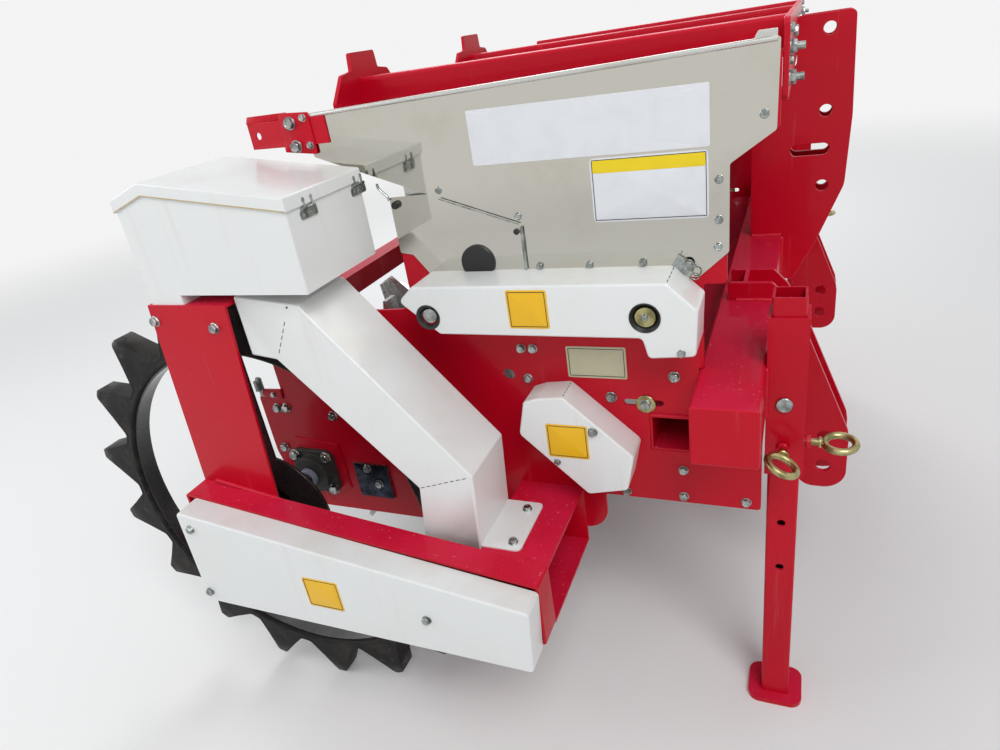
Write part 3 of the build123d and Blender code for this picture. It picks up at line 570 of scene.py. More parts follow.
def slab(outline, low, high, edge):
    """Closed plate of a star-shaped outline on a side face, from low to high, with its outer edge rounded.

    The rows run from the middle of the back to the outline, up the wall, round the edge and to the middle.
    """
    middle = (outline.max(0) + outline.min(0)) / 2
    inward = (middle - outline) / np.linalg.norm(outline - middle, axis=1, keepdims=True)
    rows = [middle + 0 * outline, outline]
    outs = [low, low]
    for angle in np.linspace(0, pi / 2, 4):
        rows.append(outline + inward * edge * (1 - np.cos(angle)))
        outs.append(high - edge + edge * np.sin(angle))
    rows.append(middle + 0 * outline)
    outs.append(high)
    return surface(upright(np.stack(rows), np.array(outs)[:, None]))


def lathed(profile, columns=24):
    """Grid of a profile of (radius, height) turned about its own z axis."""
    profile = np.asarray(profile, float)
    turn = circle_turns(columns)
    across, along = profile[:, :1] * np.cos(turn), profile[:, :1] * np.sin(turn)
    return np.stack([across, along, np.broadcast_to(profile[:, 1:], across.shape)], -1)


def standing(unit, places, axes, turned=None):
    """Copies of a unit grid: each stands on its place with its own z along the given axis.

    It is turned about that axis by the given angle, or by a random one.
    """
    places = np.atleast_2d(np.asarray(places, float))
    axes = np.broadcast_to(np.asarray(axes, float), places.shape)
    helper = np.where(np.abs(axes[:, 2:]) > 0.9, [[1.0, 0.0, 0.0]], [[0.0, 0.0, 1.0]])
    across = np.cross(helper, axes)
    across /= np.linalg.norm(across, axis=1, keepdims=True)
    along = np.cross(axes, across)
    turned = rng.uniform(0, 2 * pi, len(places)) if turned is None else np.full(len(places), turned)
    cosine, sine = np.cos(turned)[:, None], np.sin(turned)[:, None]
    across, along = across * cosine + along * sine, along * cosine - across * sine
    frames = np.stack([across, along, axes], 1)
    return surface(places[:, None, None] + np.einsum("rck,pkx->prcx", unit, frames))


def lathed_ring(section, place, columns=40):
    """Ring whose closed section is given as (radius, height), standing outwards on its place."""
    points, _ = standing(lathed(section, columns), place, OUT, 0.0)
    return surface(points.reshape(len(section), columns, 3), wrap_rows=True)


def hex_bolt(size, stud=0.0):
    """Bolt head on a washer, for a thread of the given size.

    The rows run from the washer's back to the head's middle.  The head's radius at an angle is half its
    width across flats over the cosine of the angle to the nearest flat, and its top edge is cut back to a
    circle.  A stud adds a nut's thread with its chamfered end.
    """
    across, head, washer, thick = size * 1.62, size * 0.68, size * 1.08, size * 0.17
    turn = circle_turns(24)
    hexagon = across / 2 / np.cos((turn % (pi / 3)) - pi / 6)
    circle = np.ones(len(turn))
    top = thick + head
    # radius, height
    rows = [
        (0 * circle, -0.0006), (washer * circle, -0.0006), (washer * circle, thick * 0.75),
        (washer * 0.95 * circle, thick), (hexagon * 0.99, thick), (hexagon, thick + 0.0004),
        (hexagon, top - size * 0.1), (across * 0.48 * circle, top),
    ]
    if stud:
        radius, end = size * 0.49 * circle, top + stud
        rows += [(radius, top), (radius, end - 0.001), (radius * 0.82, end), (0 * circle, end)]
    else:
        hollow = thick + head * 0.94
        rows += [(across * 0.36 * circle, top), (across * 0.33 * circle, hollow), (0 * circle, hollow)]
    radius = np.stack([row[0] for row in rows])
    height = np.array([row[1] for row in rows])[:, None] * circle
    return np.stack([radius * np.cos(turn), radius * np.sin(turn), height], -1)


def carriage_bolt(size):
    """Low domed head on the sheet: a quarter ellipse of heights over radii."""
    radius = size * 1.05
    angle = np.linspace(0, pi / 2, 5)
    dome = np.stack([radius * np.cos(angle), size * 0.42 * np.sin(angle)], 1)
    return lathed(np.concatenate([[(0, -0.0005), (radius, -0.0005)], dome]), 20)


def swept(path, radius, columns=12, wrap=False):
    """Round bar along a path: circles square to it, lined up by the axis it follows least, ends closed."""
    path = np.asarray(path, float)
    if wrap:
        ahead = np.roll(path, -1, 0) - np.roll(path, 1, 0)
    else:
        ahead = np.gradient(path, axis=0)
    ahead /= np.linalg.norm(ahead, axis=1, keepdims=True)
    helper = np.eye(3)[np.argmin(np.abs(ahead).max(0))]
    side = np.cross(ahead, helper)
    side /= np.linalg.norm(side, axis=1, keepdims=True)
    up = np.cross(side, ahead)
    reach = np.full(len(path), radius)
    if not wrap:
        path = np.concatenate([path[:1], path, path[-1:]])
        side, up = (np.concatenate([a[:1], a, a[-1:]]) for a in (side, up))
        reach = np.concatenate([[0], reach, [0]])
    turn = circle_turns(columns)[None, :, None]
    ring = np.cos(turn) * side[:, None] + np.sin(turn) * up[:, None]
    return surface(path[:, None] + reach[:, None, None] * ring, wrap_rows=wrap)


def curve(points, steps):
    """Smooth path through the given points, by a cubic between each pair with slopes from the neighbours."""
    points = np.asarray(points, float)
    slope = np.gradient(points, axis=0)
    t = np.linspace(0, 1, steps, endpoint=False)[None, :, None]
    start, end, leaving, arriving = points[:-1, None], points[1:, None], slope[:-1, None], slope[1:, None]
    body = (2 * t**3 - 3 * t**2 + 1) * start + (t**3 - 2 * t**2 + t) * leaving
    body += (3 * t**2 - 2 * t**3) * end + (t**3 - t**2) * arriving
    return np.concatenate([body.reshape(-1, 3), points[-1:]])


def weld(start, end, first, second):
    """Weld bead in the corner of two faces along a straight line.

    Its section is a quarter round between the faces' normals, and its size swells and sinks every 3 mm.
    """
    size, pitch, taper_length = 0.0045, 0.003, 0.004
    start, end, first, second = (np.asarray(v, float) for v in (start, end, first, second))
    length = np.linalg.norm(end - start)
    count = max(int(length / 0.00075), 8)
    along = np.linspace(0, 1, count)
    ripple = 1 + 0.10 * np.abs(np.sin(along * length * pi / pitch)) + 0.05 * np.sin(along * length * 170)
    taper = np.clip(np.minimum(along, 1 - along) * length / taper_length, 0, 1) ** 0.5
    spine = start + along[:, None] * (end - start)
    turn = np.linspace(0, pi / 2, 5)[:, None]
    arc = np.cos(turn) * first + np.sin(turn) * second
    section = np.concatenate([arc, [-(first + second) * 0.12]])
    return surface(spine[:, None] + (size * ripple * taper)[:, None, None] * section[None])


# node, width of its rounded edges
EDGES = [
    ("front_beam", 0.0040), ("head_plate", 0.0012), ("top_rail_right", 0.0012), ("top_rail_centre", 0.0012),
    ("top_rail_left", 0.0012), ("mast_spacer", 0.0020), ("middle_tube", 0.0020), ("rear_tube", 0.0030),
] + [
    (f"{name}_{side}", width) for side, _ in SIDES for name, width in (
        ("mast_plate", 0.0010), ("lower_clevis", 0.0010), ("stand_sleeve", 0.0015), ("stand_leg", 0.0015),
        ("side_plate", 0.0008), ("wheel_frame", 0.0012), ("box_post", 0.0008), ("storage_box", 0.0012),
        ("box_lid", 0.0012), ("wheel_guard", 0.0008), ("upper_chain_cover", 0.0010),
        ("small_chain_cover", 0.0010), ("outer_chain_cover", 0.0010), ("rear_bracket", 0.0006),
        ("axle_bearing", 0.0012), ("wheel_disc", 0.0008),
    )
]


def fasten_sides():
    """Bolts that face outwards on the plates, covers and frames of both sides."""
    flange = [(WHEEL_X + x, WHEEL_Z + z) for z in (0.0415, -0.0415) for x in (-0.0415, 0.0415)]
    # head, thread, distance out, places as (x, z)
    rows = [
        (hex_bolt, 0.006, mirror_out, [
            (0.278, 0.928), (0.361, 0.928), (0.4455, 0.930), (0.6155, 1.129), (0.5575, 1.048),
            (0.557, 0.991), (0.556, 0.951), (0.251, 1.0107),
        ]),
        (carriage_bolt, 0.006, mirror_out, [(0.118, 1.060)]),
        (hex_bolt, 0.006, lap_out, [(-0.1076, 1.1960), (-0.1051, 1.1514)]),
        (hex_bolt, 0.006, upper_out, [(0.511, 0.815)]),
        (hex_bolt, 0.008, small_out, [(0.357, 0.654)]),
        (hex_bolt, 0.006, small_out, [(0.287, 0.586)]),
        (hex_bolt, 0.008, plate_out, [(0.3914, 0.4915)]),
        (hex_bolt, 0.008, outer_out, [(-0.3525, 0.540), (-0.3705, 0.384), (0.1217, 0.427)]),
        (hex_bolt, 0.008, plate_out, [(0.222, 0.777), (0.244, 0.777), (0.228, 0.7185)]),
        (hex_bolt, 0.009, plate_out, [(0.485, 0.733), (0.377, 0.689)]),
        (hex_bolt, 0.008, plate_out, [(0.4945, 0.550), (0.494, 0.494), (0.5985, 0.495)]),
        (hex_bolt, 0.010, plate_out, [
            (-0.373, 0.616), (-0.349, 0.6175), (-0.2295, 0.606), (-0.3885, 0.513),
        ]),
        (hex_bolt, 0.010, lap_out, [(-0.1354, 1.1897), (-0.1336, 1.1515)]),
        (hex_bolt, 0.009, post_out, [(-0.360, 0.916), (-0.229, 0.905)]),
        (hex_bolt, 0.009, cap_out, [(-0.1727, 0.4827), (-0.1511, 0.4451)]),
        (hex_bolt, 0.012, flange_out, flange),
    ]
    patches = []
    for head, thread, out, places in rows:
        patches.append(standing(head(thread), [(x, -out, z) for x, z in places], OUT))
    solid("side_bolts", both(patches), ZINC)


def fasten_shafts():
    """Yellow washer in the side plate's slot and yellow disc on the agitator shaft, with plain bolts."""
    slot_x, slot_z = 0.436, 0.679
    shaft_x, shaft_z = AGITATOR
    shaft_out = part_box("agitator_shaft")[1].y
    washer = [(0, -0.0003), (0.0165, -0.0003), (0.0165, 0.0022), (0.0158, 0.0028), (0, 0.0028)]
    disc = [(0, -0.001), (0.0160, -0.001), (0.0160, 0.002), (0.0152, 0.003), (0, 0.003)]
    patches = [
        standing(lathed(washer, 32), (slot_x, -plate_out, slot_z), OUT, 0.0),
        standing(lathed(disc, 32), (shaft_x, -shaft_out - 0.0005, shaft_z), OUT, 0.0),
    ]
    solid("yellow_washers", both(patches), BRASSY)
    patches = [
        standing(hex_bolt(0.009), (slot_x, -plate_out - 0.0026, slot_z), OUT),
        standing(hex_bolt(0.005), (shaft_x, -shaft_out - 0.0030, shaft_z), OUT),
    ]
    solid("clamp_bolts", both(patches), ZINC)


def fasten_tops():
    """Bolts that face up or ahead: guard feet, head plate and top rails."""
    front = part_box("head_plate")[1].x
    feet = [(0.2266, -0.838, 0.493), (0.2328, -0.929, 0.493)]
    large = [(front, -0.712, z) for z in (1.203, 1.166)]
    small = [(front, -0.722, z) for z in (1.226, 1.188)]
    ends = [
        standing(hex_bolt(0.008), feet, UP), standing(hex_bolt(0.010, 0.010), large, AHEAD),
        standing(hex_bolt(0.006), small, AHEAD),
    ]
    rails = [(front, rail + step, 1.212) for rail in (-0.52, 0.0, 0.52) for step in (-0.025, 0.025)]
    solid("top_bolts", both(ends) + [standing(hex_bolt(0.008), rails, AHEAD)], ZINC)


def window_rings():
    """Black grommets round the shaft windows of the upper covers."""
    # (radius, height) round each section, from its inner foot outwards
    large = [
        (0.0168, -0.006), (0.0226, -0.006), (0.0234, -0.0004), (0.0236, 0.0008), (0.0222, 0.0010),
        (0.0205, -0.0012),
    ]
    small = [
        (0.0150, -0.006), (0.0180, -0.006), (0.0182, -0.0004), (0.0218, -0.0004), (0.0221, 0.0008),
        (0.0205, 0.0012), (0.0172, -0.0008),
    ]
    rings = []
    for section, (x, z) in ((large, AGITATOR), (small, METERING)):
        rings.append(lathed_ring(section, (x, -upper_out, z)))
    solid("window_rings", both(rings), PLASTIC)


def blank_plates():
    """Stickers, the sign, the label and the nameplate, all without print but for plain border lines."""
    # name, x from, x to, z from, z to, distance out, thickness, corner radius, finish, border inset
    rows = [
        ("sticker_upper", 0.244, 0.3115, 0.8515, 0.916, upper_out, 0.0004, 0.004, STICKER, 0.0035),
        ("sticker_small", 0.273, 0.347, 0.597, 0.664, small_out, 0.0004, 0.004, STICKER, 0.0035),
        ("sticker_outer", -0.1225, -0.0475, 0.405, 0.471, outer_out, 0.0004, 0.004, STICKER, 0.0035),
        ("sign", 0.1885, 0.5465, 1.094, 1.176, mirror_out, 0.0030, 0.002, WHITE, 0.0),
        ("label", 0.3745, 0.5435, 0.995, 1.090, mirror_out, 0.0004, 0.006, WHITE, 0.0030),
        ("label_band", 0.3780, 0.5400, 1.0680, 1.0865, mirror_out + 0.0004, 0.0002, 0.003, BAND, 0.0),
        ("nameplate", 0.304, 0.4075, 0.7245, 0.7835, plate_out, 0.0008, 0.003, PLATE, 0.0040),
    ]
    lines = []
    for name, x0, x1, z0, z1, out, thick, corner, finish, inset in rows:
        plate = slab(rectangle(x0, x1, z0, z1, corner), out - SINK, out + thick, thick * 0.4)
        solid(name, both([plate]), finish)
        if inset:
            x0, x1, z0, z1 = x0 + inset, x1 - inset, z0 + inset, z1 - inset
            corners = [(x0, z0), (x1, z0), (x1, z1), (x0, z1)]
            for start, end in zip(corners, corners[1:] + corners[:1]):
                lines.append(strip(start, end, out + thick, 0.0010, 0.0004))
    solid("border_lines", both(lines), PRINT_AND_SLOT_SHADE)


def strip(start, end, out, wide, thick):
    """Thin bar on a side face from one point to another (x, z)."""
    start, end = np.array(start), np.array(end)
    ahead = (end - start) / np.linalg.norm(end - start)
    across = np.array([-ahead[1], ahead[0]]) * wide / 2
    corners = np.array([start - across, end - across, end + across, start + across])
    return slab(rounded(corners, wide * 0.3, 3), out - SINK, out + thick, thick * 0.5)


def dashes(start, end, count):
    """Short dark rods of painted slot shade in a row along a fold, each 0.6 of its pitch long."""
    start, end = np.array(start), np.array(end)
    parts = (np.arange(count)[:, None] + [0.2, 0.8]) / count
    return [swept(start + pair[:, None] * (end - start), 0.0007, 6) for pair in parts]


def fold_slots():
    """Painted shade in the laser-cut slots along the folds of the guard and the covers: dark rods fill their
    openings.
    """
    # start, end, number of dashes
    rows = [
        ((0.4928, -mirror_out - 0.006, 0.9234), (0.4928, -upper_out + 0.006, 0.9234), 4),
        ((0.3086, -plate_out - 0.004, 0.7159), (0.3086, -small_out + 0.006, 0.7159), 5),
        ((-0.0953, -guard_out, 0.9120), (-0.1301, -guard_out, 0.8496), 5),
        ((0.0850, -guard_out, 0.6030), (0.1800, -guard_out, 0.6350), 8),
    ]
    patches = [patch for row in rows for patch in dashes(*row)]
    solid("fold_slots", both(patches), PRINT_AND_SLOT_SHADE)


def hinges():
    """Two leaf hinges at each box's front: knuckles and prongs ride the lid, the leaves the chassis."""
    box_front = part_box("storage_box_right")[1].x
    lid_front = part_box("box_lid_right")[1].x
    leaf_face = box_front + 0.0018
    leaf_low, leaf_high, knuckle_z, prong_low, prong_high = 1.068, 1.081, 1.0835, 1.0850, 1.0965
    screw = carriage_bolt(0.0035)
    for side, sign in SIDES:
        leaves, moving = [], []
        for low, high in ((0.752, 0.795), (0.8936, 0.9355)):
            edge = rectangle(low, high, leaf_low, leaf_high, 0.003, 4)
            centre = edge.mean(0) + 0 * edge
            rows = np.stack([centre, edge, edge, centre])
            x = np.array([box_front - 0.0005, box_front - 0.0005, leaf_face, leaf_face])[:, None]
            leaves.append(surface(np.stack([x + 0 * rows[..., 0], -rows[..., 0], rows[..., 1]], -1)))
            y = -(low + high) / 2
            screws = [(leaf_face, y + step, 1.0738) for step in (0.013, 0.0, -0.013)]
            leaves.append(standing(screw, screws, AHEAD))
            axis = [(lid_front - 0.0010, end, knuckle_z) for end in (-low - 0.004, -high + 0.004)]
            moving.append(swept(axis, 0.0026, 14))
            for step in (0.010, -0.010):
                prong = [(lid_front + 0.0004, y + step, z) for z in (prong_low, prong_high)]
                moving.append(swept(prong, 0.0019, 10))
                moving.append(standing(screw, (lid_front, y + step, prong_high), AHEAD))
        solid(f"hinge_leaves_{side}", on_side(leaves, sign), ZINC)
        solid(f"hinge_knuckles_{side}", on_side(moving, sign), ZINC, f"lid_{side}")


def lug_rings():
    """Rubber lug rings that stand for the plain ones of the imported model.

    The outline repeats one lug's corners round the wheel: a blunt tip, slightly hollow flanks and a round
    valley.  Each point of it is joined to the inner rim by rows along both side faces, whose distance from
    the middle plane falls in a straight line from the root to the narrower tip.  A round dimple in each lug
    and a groove round the ring are bell curves taken off that distance.
    """
    inner, root, tip, half, tip_half, chamfer = 0.3642, 0.3805, 0.4648, 0.0258, 0.0218, 0.003
    dimple_radius, groove_radius = 0.402, 0.3745
    count, first_lug = 17, -86.0
    # angle from the lug's middle in degrees, radius, corner radius
    lug = np.array([
        (-8.7, root, 0.012), (-4.6, 0.4205, 0.150), (-1.3, tip, 0.008),
        (1.3, tip, 0.008), (4.6, 0.4205, 0.150), (8.7, root, 0.012),
    ])
    lug_turns = np.radians(np.arange(count) * 360 / count + first_lug)[:, None]
    turn = lug_turns + np.radians(lug[:, 0])
    corners = np.stack([lug[:, 1] * np.cos(turn), lug[:, 1] * np.sin(turn)], -1).reshape(-1, 2)
    edge = rounded(corners, np.tile(lug[:, 2], count), 6)
    angle = np.arctan2(edge[:, 1], edge[:, 0])
    reach = np.linalg.norm(edge, axis=1)

    # share of the way from the inner rim to the outline: up one side face and down the other
    share = np.append(np.arange(10) / 10, (0.97, 1.0))
    sign = np.repeat((-1, 1), len(share))[:, None]
    share = np.concatenate([share, share[::-1]])[:, None]
    radius = inner + chamfer + share * (reach - inner - chamfer)
    fall = np.clip((radius - root) / (tip - root), 0, 1) * (half - tip_half)
    near = np.cos(angle[:, None] - lug_turns.T).max(1)
    dimple = np.exp(-((radius - dimple_radius) / 0.013) ** 2 - ((1 - near) / 0.0006) ** 2) * 0.0014
    groove = np.exp(-((radius - groove_radius) / 0.003) ** 2) * 0.0010
    sink = np.where(share == 1.0, 0.0018, 0.0)
    out = sign * (half - fall - sink - dimple - groove)
    rim = np.full((1, len(edge)), half - chamfer)
    radius = np.concatenate([0 * rim + inner, radius, 0 * rim + inner])
    out = np.concatenate([-rim, out, rim])
    grid = np.stack([WHEEL_X + radius * np.cos(angle), out, WHEEL_Z + radius * np.sin(angle)], -1)
    for side, sign in SIDES:
        patch = surface(grid + (0, sign * WHEEL_OUT, 0), wrap_rows=True)
        ring = solid(f"lug_ring_{side}", [patch], RUBBER, f"wheel_{side}", sharp=50.0)
        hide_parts(f"wheel_tyre_{side}")

    # painted shade: two flat near-black discs at the foot of every lug, on both faces, stand for the dark of small
    # dimples
    mark = lathed([(0, -0.0012), (0.0031, -0.0012), (0.0031, 0.0001), (0, 0.0001)], 10)
    spots = (lug_turns + np.radians((-2.7, 2.4))).ravel()
    x, z = WHEEL_X + 0.393 * np.cos(spots), WHEEL_Z + 0.393 * np.sin(spots)
    marks = []
    for way, y in ((OUT, -WHEEL_OUT - 0.0252), (INWARD, -WHEEL_OUT + 0.0252)):
        marks.append(standing(mark, np.stack([x, np.full(len(x), y), z], 1), way, 0.0))
    for side, sign in SIDES:
        solid(f"lug_dimple_shade_{side}", on_side(marks, sign), SHADE, f"wheel_{side}")


def knobs_and_pins():
    """Flat black knob under the upper cover, the mirror plate's small rods, and the cover's spring clip."""
    # (radius, height)
    knob = [(0, -0.0005), (0.030, -0.0005), (0.030, 0.0040), (0.029, 0.0058), (0.027, 0.0064), (0, 0.0064)]
    small = [(0, -0.0005), (0.0064, -0.0005), (0.0064, 0.007), (0.005, 0.0095), (0.002, 0.0105), (0, 0.0105)]
    dot = [(0, -0.0005), (0.005, -0.0005), (0.005, 0.002), (0.0036, 0.003), (0, 0.0032)]
    pin = [(radius * 0.36, height * 0.4) for radius, height in dot]
    dark = [
        standing(lathed(knob, 48), (0.169, -mirror_out, 0.9365), OUT, 0.0),
        standing(lathed(small, 24), (0.034, -mirror_out, 1.041), OUT, 0.0),
        standing(lathed(dot, 24), (0.2448, -mirror_out, 0.986), OUT, 0.0),
        standing(lathed(pin, 16), (-0.0839, -guard_out, 0.9341), OUT, 0.0),
    ]
    solid("side_knobs", both(dark), PLASTIC)

    face = -mirror_out - 0.0030
    link = [(x, face - 0.002, z) for x, z in ((0.252, 0.999), (0.185, 1.023), (0.118, 1.047))]
    hook = [(x, face, z) for x, z in ((0.006, 1.0786), (0.008, 1.070), (0.021, 1.056), (0.023, 1.049))]
    rods = [
        swept([(0.255, face, 0.994), (0.2545, face, 0.9235)], 0.0026, 12),
        swept(link, 0.0011, 8), swept(curve(hook, 8), 0.0022, 10),
    ]
    solid("side_rods", both(rods), ZINC)

    tab = [(0.4985, 0.9420), (0.4900, 0.9270), (0.5065, 0.9075), (0.5255, 0.9225)]
    turn = circle_turns(40)
    ring = np.stack([0.0062 * np.sin(turn), -0.0030 * np.cos(turn), 0.0062 * np.cos(turn)], -1)
    patches = [
        slab(rounded(tab, 0.002, 4), mirror_out + 0.0005, mirror_out + 0.0060, 0.0006),
        standing(hex_bolt(0.008), (0.5129, -mirror_out - 0.006, 0.9264), OUT),
        swept(ring + (0.5235, -0.763, 0.9102), 0.0010, 8, wrap=True),
    ]
    solid("spring_clip", both(patches), ZINC)


def eye_bolts():
    """Yellow-plated eye bolts with weld nuts that clamp each stand leg, and the plain pin above them."""
    turn = circle_turns(48)[:, None]
    ring_radius, bar_radius = 0.0235, 0.006
    # weld nut's seat, way out, other direction of the ring's plane
    rows = [
        ((0.653, -sleeve_out, 0.601), OUT, (0.906, 0.0, -0.423)),
        ((sleeve_front, -0.702, 0.597), AHEAD, (0.0, 1.0, 0.05)),
    ]
    collar = lathed([(0, 0.0), (0.0095, 0.0), (0.0095, 0.003), (0.0085, 0.004), (0, 0.004)], 24)
    # a bolt's head without its washer, closed below and above
    nut = hex_bolt(0.012)[4:8]
    nut = np.concatenate([nut[:1] * (0, 0, 0) - (0, 0, 0.0005), nut, nut[-1:] * (0, 0, 1)])
    eyes, nuts = [], []
    for seat, way, side in rows:
        seat, way, side = np.array(seat), np.array(way), np.array(side) / np.linalg.norm(side)
        ring = seat + way * 0.054 + ring_radius * (np.cos(turn) * way + np.sin(turn) * side)
        eyes.append(swept(ring, bar_radius, 14, wrap=True))
        eyes.append(swept([seat - way * 0.002, seat + way * 0.028], bar_radius, 14))
        eyes.append(standing(collar, seat + way * 0.0225, way, 0.0))
        nuts.append(standing(nut, seat, way))
    solid("eye_bolts", both(eyes), BRASSY)
    solid("weld_nuts", both(nuts), RED)
    head = [(0, -0.0005), (0.0128, -0.0005), (0.0128, 0.0035), (0.0118, 0.0047), (0, 0.0047)]
    pin = standing(lathed(head, 32), (0.653, -sleeve_out, 0.6816), OUT, 0.0)
    solid("sleeve_pins", both([pin]), ZINC)


def plate_hems():
    """Rolled bright edge and front tab along the top of both mirror plates."""
    top = [(-0.1035, -mirror_out + 0.001, 1.1975), (0.6290, -mirror_out + 0.001, 1.2172)]
    solid("plate_hems", both([swept(top, 0.0038, 14)]), STAINLESS)
    tab = rounded([(0.6000, 1.2180), (0.6290, 1.2180), (0.6290, 1.2290), (0.6060, 1.2290)], 0.0015, 4)
    solid("plate_tabs", both([slab(tab, 0.748, mirror_out, 0.0004)]), STAINLESS)


def bracket_plates():
    """Laps and rims of the rear brackets, and the angles behind the head plate's ends."""
    lap = rounded([(-0.1600, 1.1440), (-0.0960, 1.1360), (-0.0960, 1.2040), (-0.1560, 1.2075)], 0.002, 4)
    rim = rounded([(-0.2397, 1.1950), (-0.1500, 1.1950), (-0.1500, 1.2070), (-0.2340, 1.2070)], 0.001, 3)
    patches = [slab(lap, lap_out - 0.003, lap_out, 0.0005), slab(rim, 0.7422, 0.7451, 0.0004)]
    solid("bracket_laps", both(patches), RED)
    angle = slab(rectangle(0.575, 0.6350, 1.110, 1.205, 0.003, 4), 0.7440, 0.7498, 0.0004)
    solid("head_angles", both([angle]), RED)


def spring_latches():
    """Red lever with its bolt at the side plate's rear corner and the coil spring that pulls it.

    The spring is a helix: a circle in x and y that climbs evenly in z.
    """
    lever = [(-0.4010, 0.6480), (-0.3800, 0.6400), (-0.3476, 0.6390), (-0.3454, 0.6640), (-0.3947, 0.6620)]
    patch = slab(rounded(lever, 0.004, 5), plate_out - 0.0005, plate_out + 0.0045, 0.0008)
    solid("latch_levers", both([patch]), RED)
    coils, radius, length = 8, 0.0052, 0.026
    turn = np.linspace(0, 2 * pi * coils, coils * 14)
    coil = np.stack([radius * np.cos(turn), radius * np.sin(turn), length * turn / turn[-1]], 1)
    coil += (-0.4010, -0.7600, 0.6600)
    hook = [(-0.3985, -0.7530, 0.6530), (-0.3985, -0.7560, 0.6560)]
    springs = [
        swept(np.concatenate([hook, coil]), 0.0012, 8),
        slab(rectangle(-0.4085, -0.3935, 0.6430, 0.6900, 0.004), plate_out, plate_out + 0.003, 0.0004),
        standing(hex_bolt(0.006), (-0.3690, -plate_out - 0.0045, 0.6510), OUT),
    ]
    solid("latch_springs", both(springs), ZINC)


def lid_lines():
    """Yellowed line along the lower edge of each lid's skirt."""
    low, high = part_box("box_lid_right")
    edge = [(low.x + 0.0012, 1.1060), (-0.2885, 1.1293), (high.x - 0.0005, 1.0897)]
    for side, sign in SIDES:
        lines = [strip(start, end, -low.y, 0.0016, 0.0003) for start, end in zip(edge, edge[1:])]
        solid(f"lid_line_{side}", on_side(lines, sign), STAIN, f"lid_{side}")


def axle_ends():
    """Dark caps of the drum axle's end plates, backing plates of the wheel bearings, collars on the axles."""
    middle, half = middle_of("drum_axle"), 0.0421
    cap = rectangle(middle.x - half, middle.x + half, middle.z - half, middle.z + half, 0.001, 3)
    solid("axle_end_caps", both([slab(cap, cap_out - 0.0013, cap_out, 0.0005)]), BLUED)
    back = [(-0.3570, 0.4080), (-0.2580, 0.4020), (-0.2325, 0.4208), (-0.2385, 0.5350), (-0.3545, 0.5440)]
    patch = slab(rounded(back, 0.004, 5), plate_out - 0.0005, plate_out + 0.003, 0.0008)
    solid("bearing_backs", both([patch]), RED)
    section = [
        (0.0148, 0.0), (0.0205, 0.0), (0.0215, 0.001), (0.0215, 0.011), (0.0205, 0.012), (0.0148, 0.012),
    ]
    collar = lathed_ring(section, (WHEEL_X, -0.7845, WHEEL_Z))
    for side, sign in SIDES:
        solid(f"axle_collar_{side}", on_side([collar], sign), CAP, f"wheel_{side}")


def welds():
    """Weld beads where plates meet the beams."""
    rows = []
    # place across and way of each plate's face, where its bead on the beam begins
    plates = [
        (-0.036, OUT, 0.5545), (-0.026, INWARD, 0.5545), (-0.370, INWARD, 0.5525), (-0.380, OUT, 0.5525),
        (-0.445, INWARD, 0.5525), (-0.455, OUT, 0.5525),
    ]
    for y, way, x in plates:
        rows.append(((x, y, beam_top), (x + 0.070, y, beam_top), UP, way))
        rows.append(((bead_front, y, 0.652), (bead_front, y, 0.748), AHEAD, way))
    for y, way in ((-0.672, INWARD), (-sleeve_out, OUT)):
        rows.append(((bead_front, y, 0.654), (bead_front, y, 0.746), AHEAD, way))
    rows.append(((0.4395, -0.7505, 0.657), (0.5095, -0.7505, 0.657), OUT, UP))
    rows.append(((-0.3655, -post_out, 0.579), (-0.2125, -post_out, 0.552), OUT, UP))
    solid("weld_beads", both([weld(*row) for row in rows]), RED, sharp=80.0)


finished_copies(EDGES)
fasten_sides()
fasten_shafts()
fasten_tops()
window_rings()
blank_plates()
fold_slots()
hinges()
lug_rings()
knobs_and_pins()
eye_bolts()
plate_hems()
bracket_plates()
spring_latches()
lid_lines()
axle_ends()
welds()


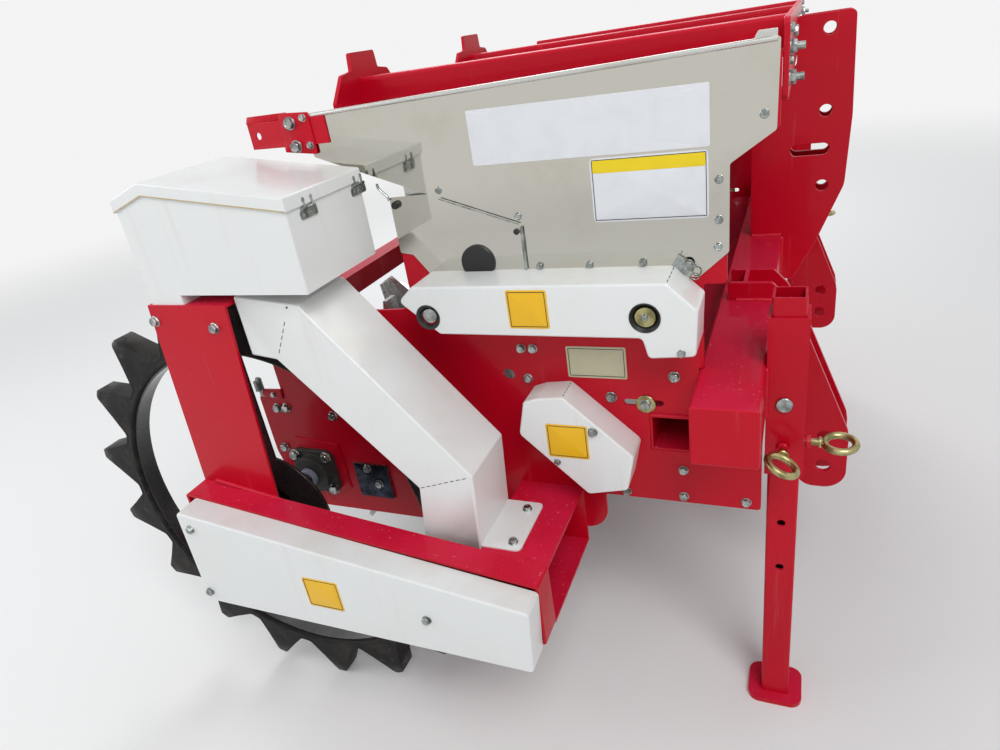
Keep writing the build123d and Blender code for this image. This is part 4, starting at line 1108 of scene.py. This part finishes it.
def studio():
    """Camera of the photograph, pale floor and backdrop, and soft lamps."""
    focal_px, picture_px, sensor_mm = 691.87, 1000, 36
    right = Vector((0.91971312, 0.36463614, -0.14549318))
    down = Vector((0.04123422, -0.45826737, -0.88785739))
    ahead = Vector((-0.39041967, 0.8105748, -0.43651))
    camera = bpy.data.objects.new("camera", bpy.data.cameras.new("camera"))
    camera.data.lens = focal_px * sensor_mm / picture_px
    camera.data.sensor_width = sensor_mm
    turn = Matrix((right, -down, -ahead)).transposed().to_4x4()
    camera.matrix_world = Matrix.Translation((0.6645, -1.77, 1.271)) @ turn
    bpy.context.scene.collection.objects.link(camera)
    bpy.context.scene.camera = camera

    # name, place, size, power, aims at
    lamps = [
        ("lamp_key", (2.2, -3.2, 4.2), 2.6, 118, (0.0, -0.4, 0.6)),
        ("lamp_fill", (-3.6, -2.4, 2.6), 3.0, 62, (0.0, -0.2, 0.6)),
        ("lamp_back", (-1.2, 4.0, 3.6), 3.0, 110, (0.0, 0.2, 0.7)),
    ]
    for name, place, size, power, target in lamps:
        lamp = bpy.data.lights.new(name, "AREA")
        lamp.shape, lamp.size, lamp.energy = "DISK", size, power
        holder = bpy.data.objects.new(name, lamp)
        holder.location = place
        holder.rotation_euler = (Vector(target) - Vector(place)).to_track_quat("-Z", "Y").to_euler()
        bpy.context.scene.collection.objects.link(holder)

    world = bpy.data.worlds.new("studio")
    bpy.context.scene.world = world
    world.use_nodes = True
    tree = world.node_tree
    path = tree.nodes.new("ShaderNodeLightPath")
    seen = path.outputs["Is Camera Ray"]
    for ray in ("Is Glossy Ray", "Is Transmission Ray"):
        either = tree.nodes.new("ShaderNodeMath")
        either.operation = "MAXIMUM"
        tree.links.new(seen, either.inputs[0])
        tree.links.new(path.outputs[ray], either.inputs[1])
        seen = either.outputs[0]
    ambient = tree.nodes["Background"]
    ambient.inputs["Color"].default_value = (0.92, 0.95, 1.0, 1.0)
    ambient.inputs["Strength"].default_value = 0.5
    pale = tree.nodes.new("ShaderNodeBackground")
    pale.inputs["Color"].default_value = (*BACKDROP, 1.0)
    blend = tree.nodes.new("ShaderNodeMixShader")
    tree.links.new(seen, blend.inputs[0])
    tree.links.new(ambient.outputs[0], blend.inputs[1])
    tree.links.new(pale.outputs[0], blend.inputs[2])
    tree.links.new(blend.outputs[0], tree.nodes["World Output"].inputs["Surface"])
    bpy.context.scene.view_settings.view_transform = "Standard"

    reach = 30.0
    corners = [(-reach, -reach, 0), (reach, -reach, 0), (reach, reach, 0), (-reach, reach, 0)]
    mesh = bpy.data.meshes.new("floor")
    mesh.from_pydata(corners, [], [(0, 1, 2, 3)])
    mesh.materials.append(ground_finish())
    floor = bpy.data.objects.new("floor", mesh)
    bpy.context.scene.collection.objects.link(floor)


studio()
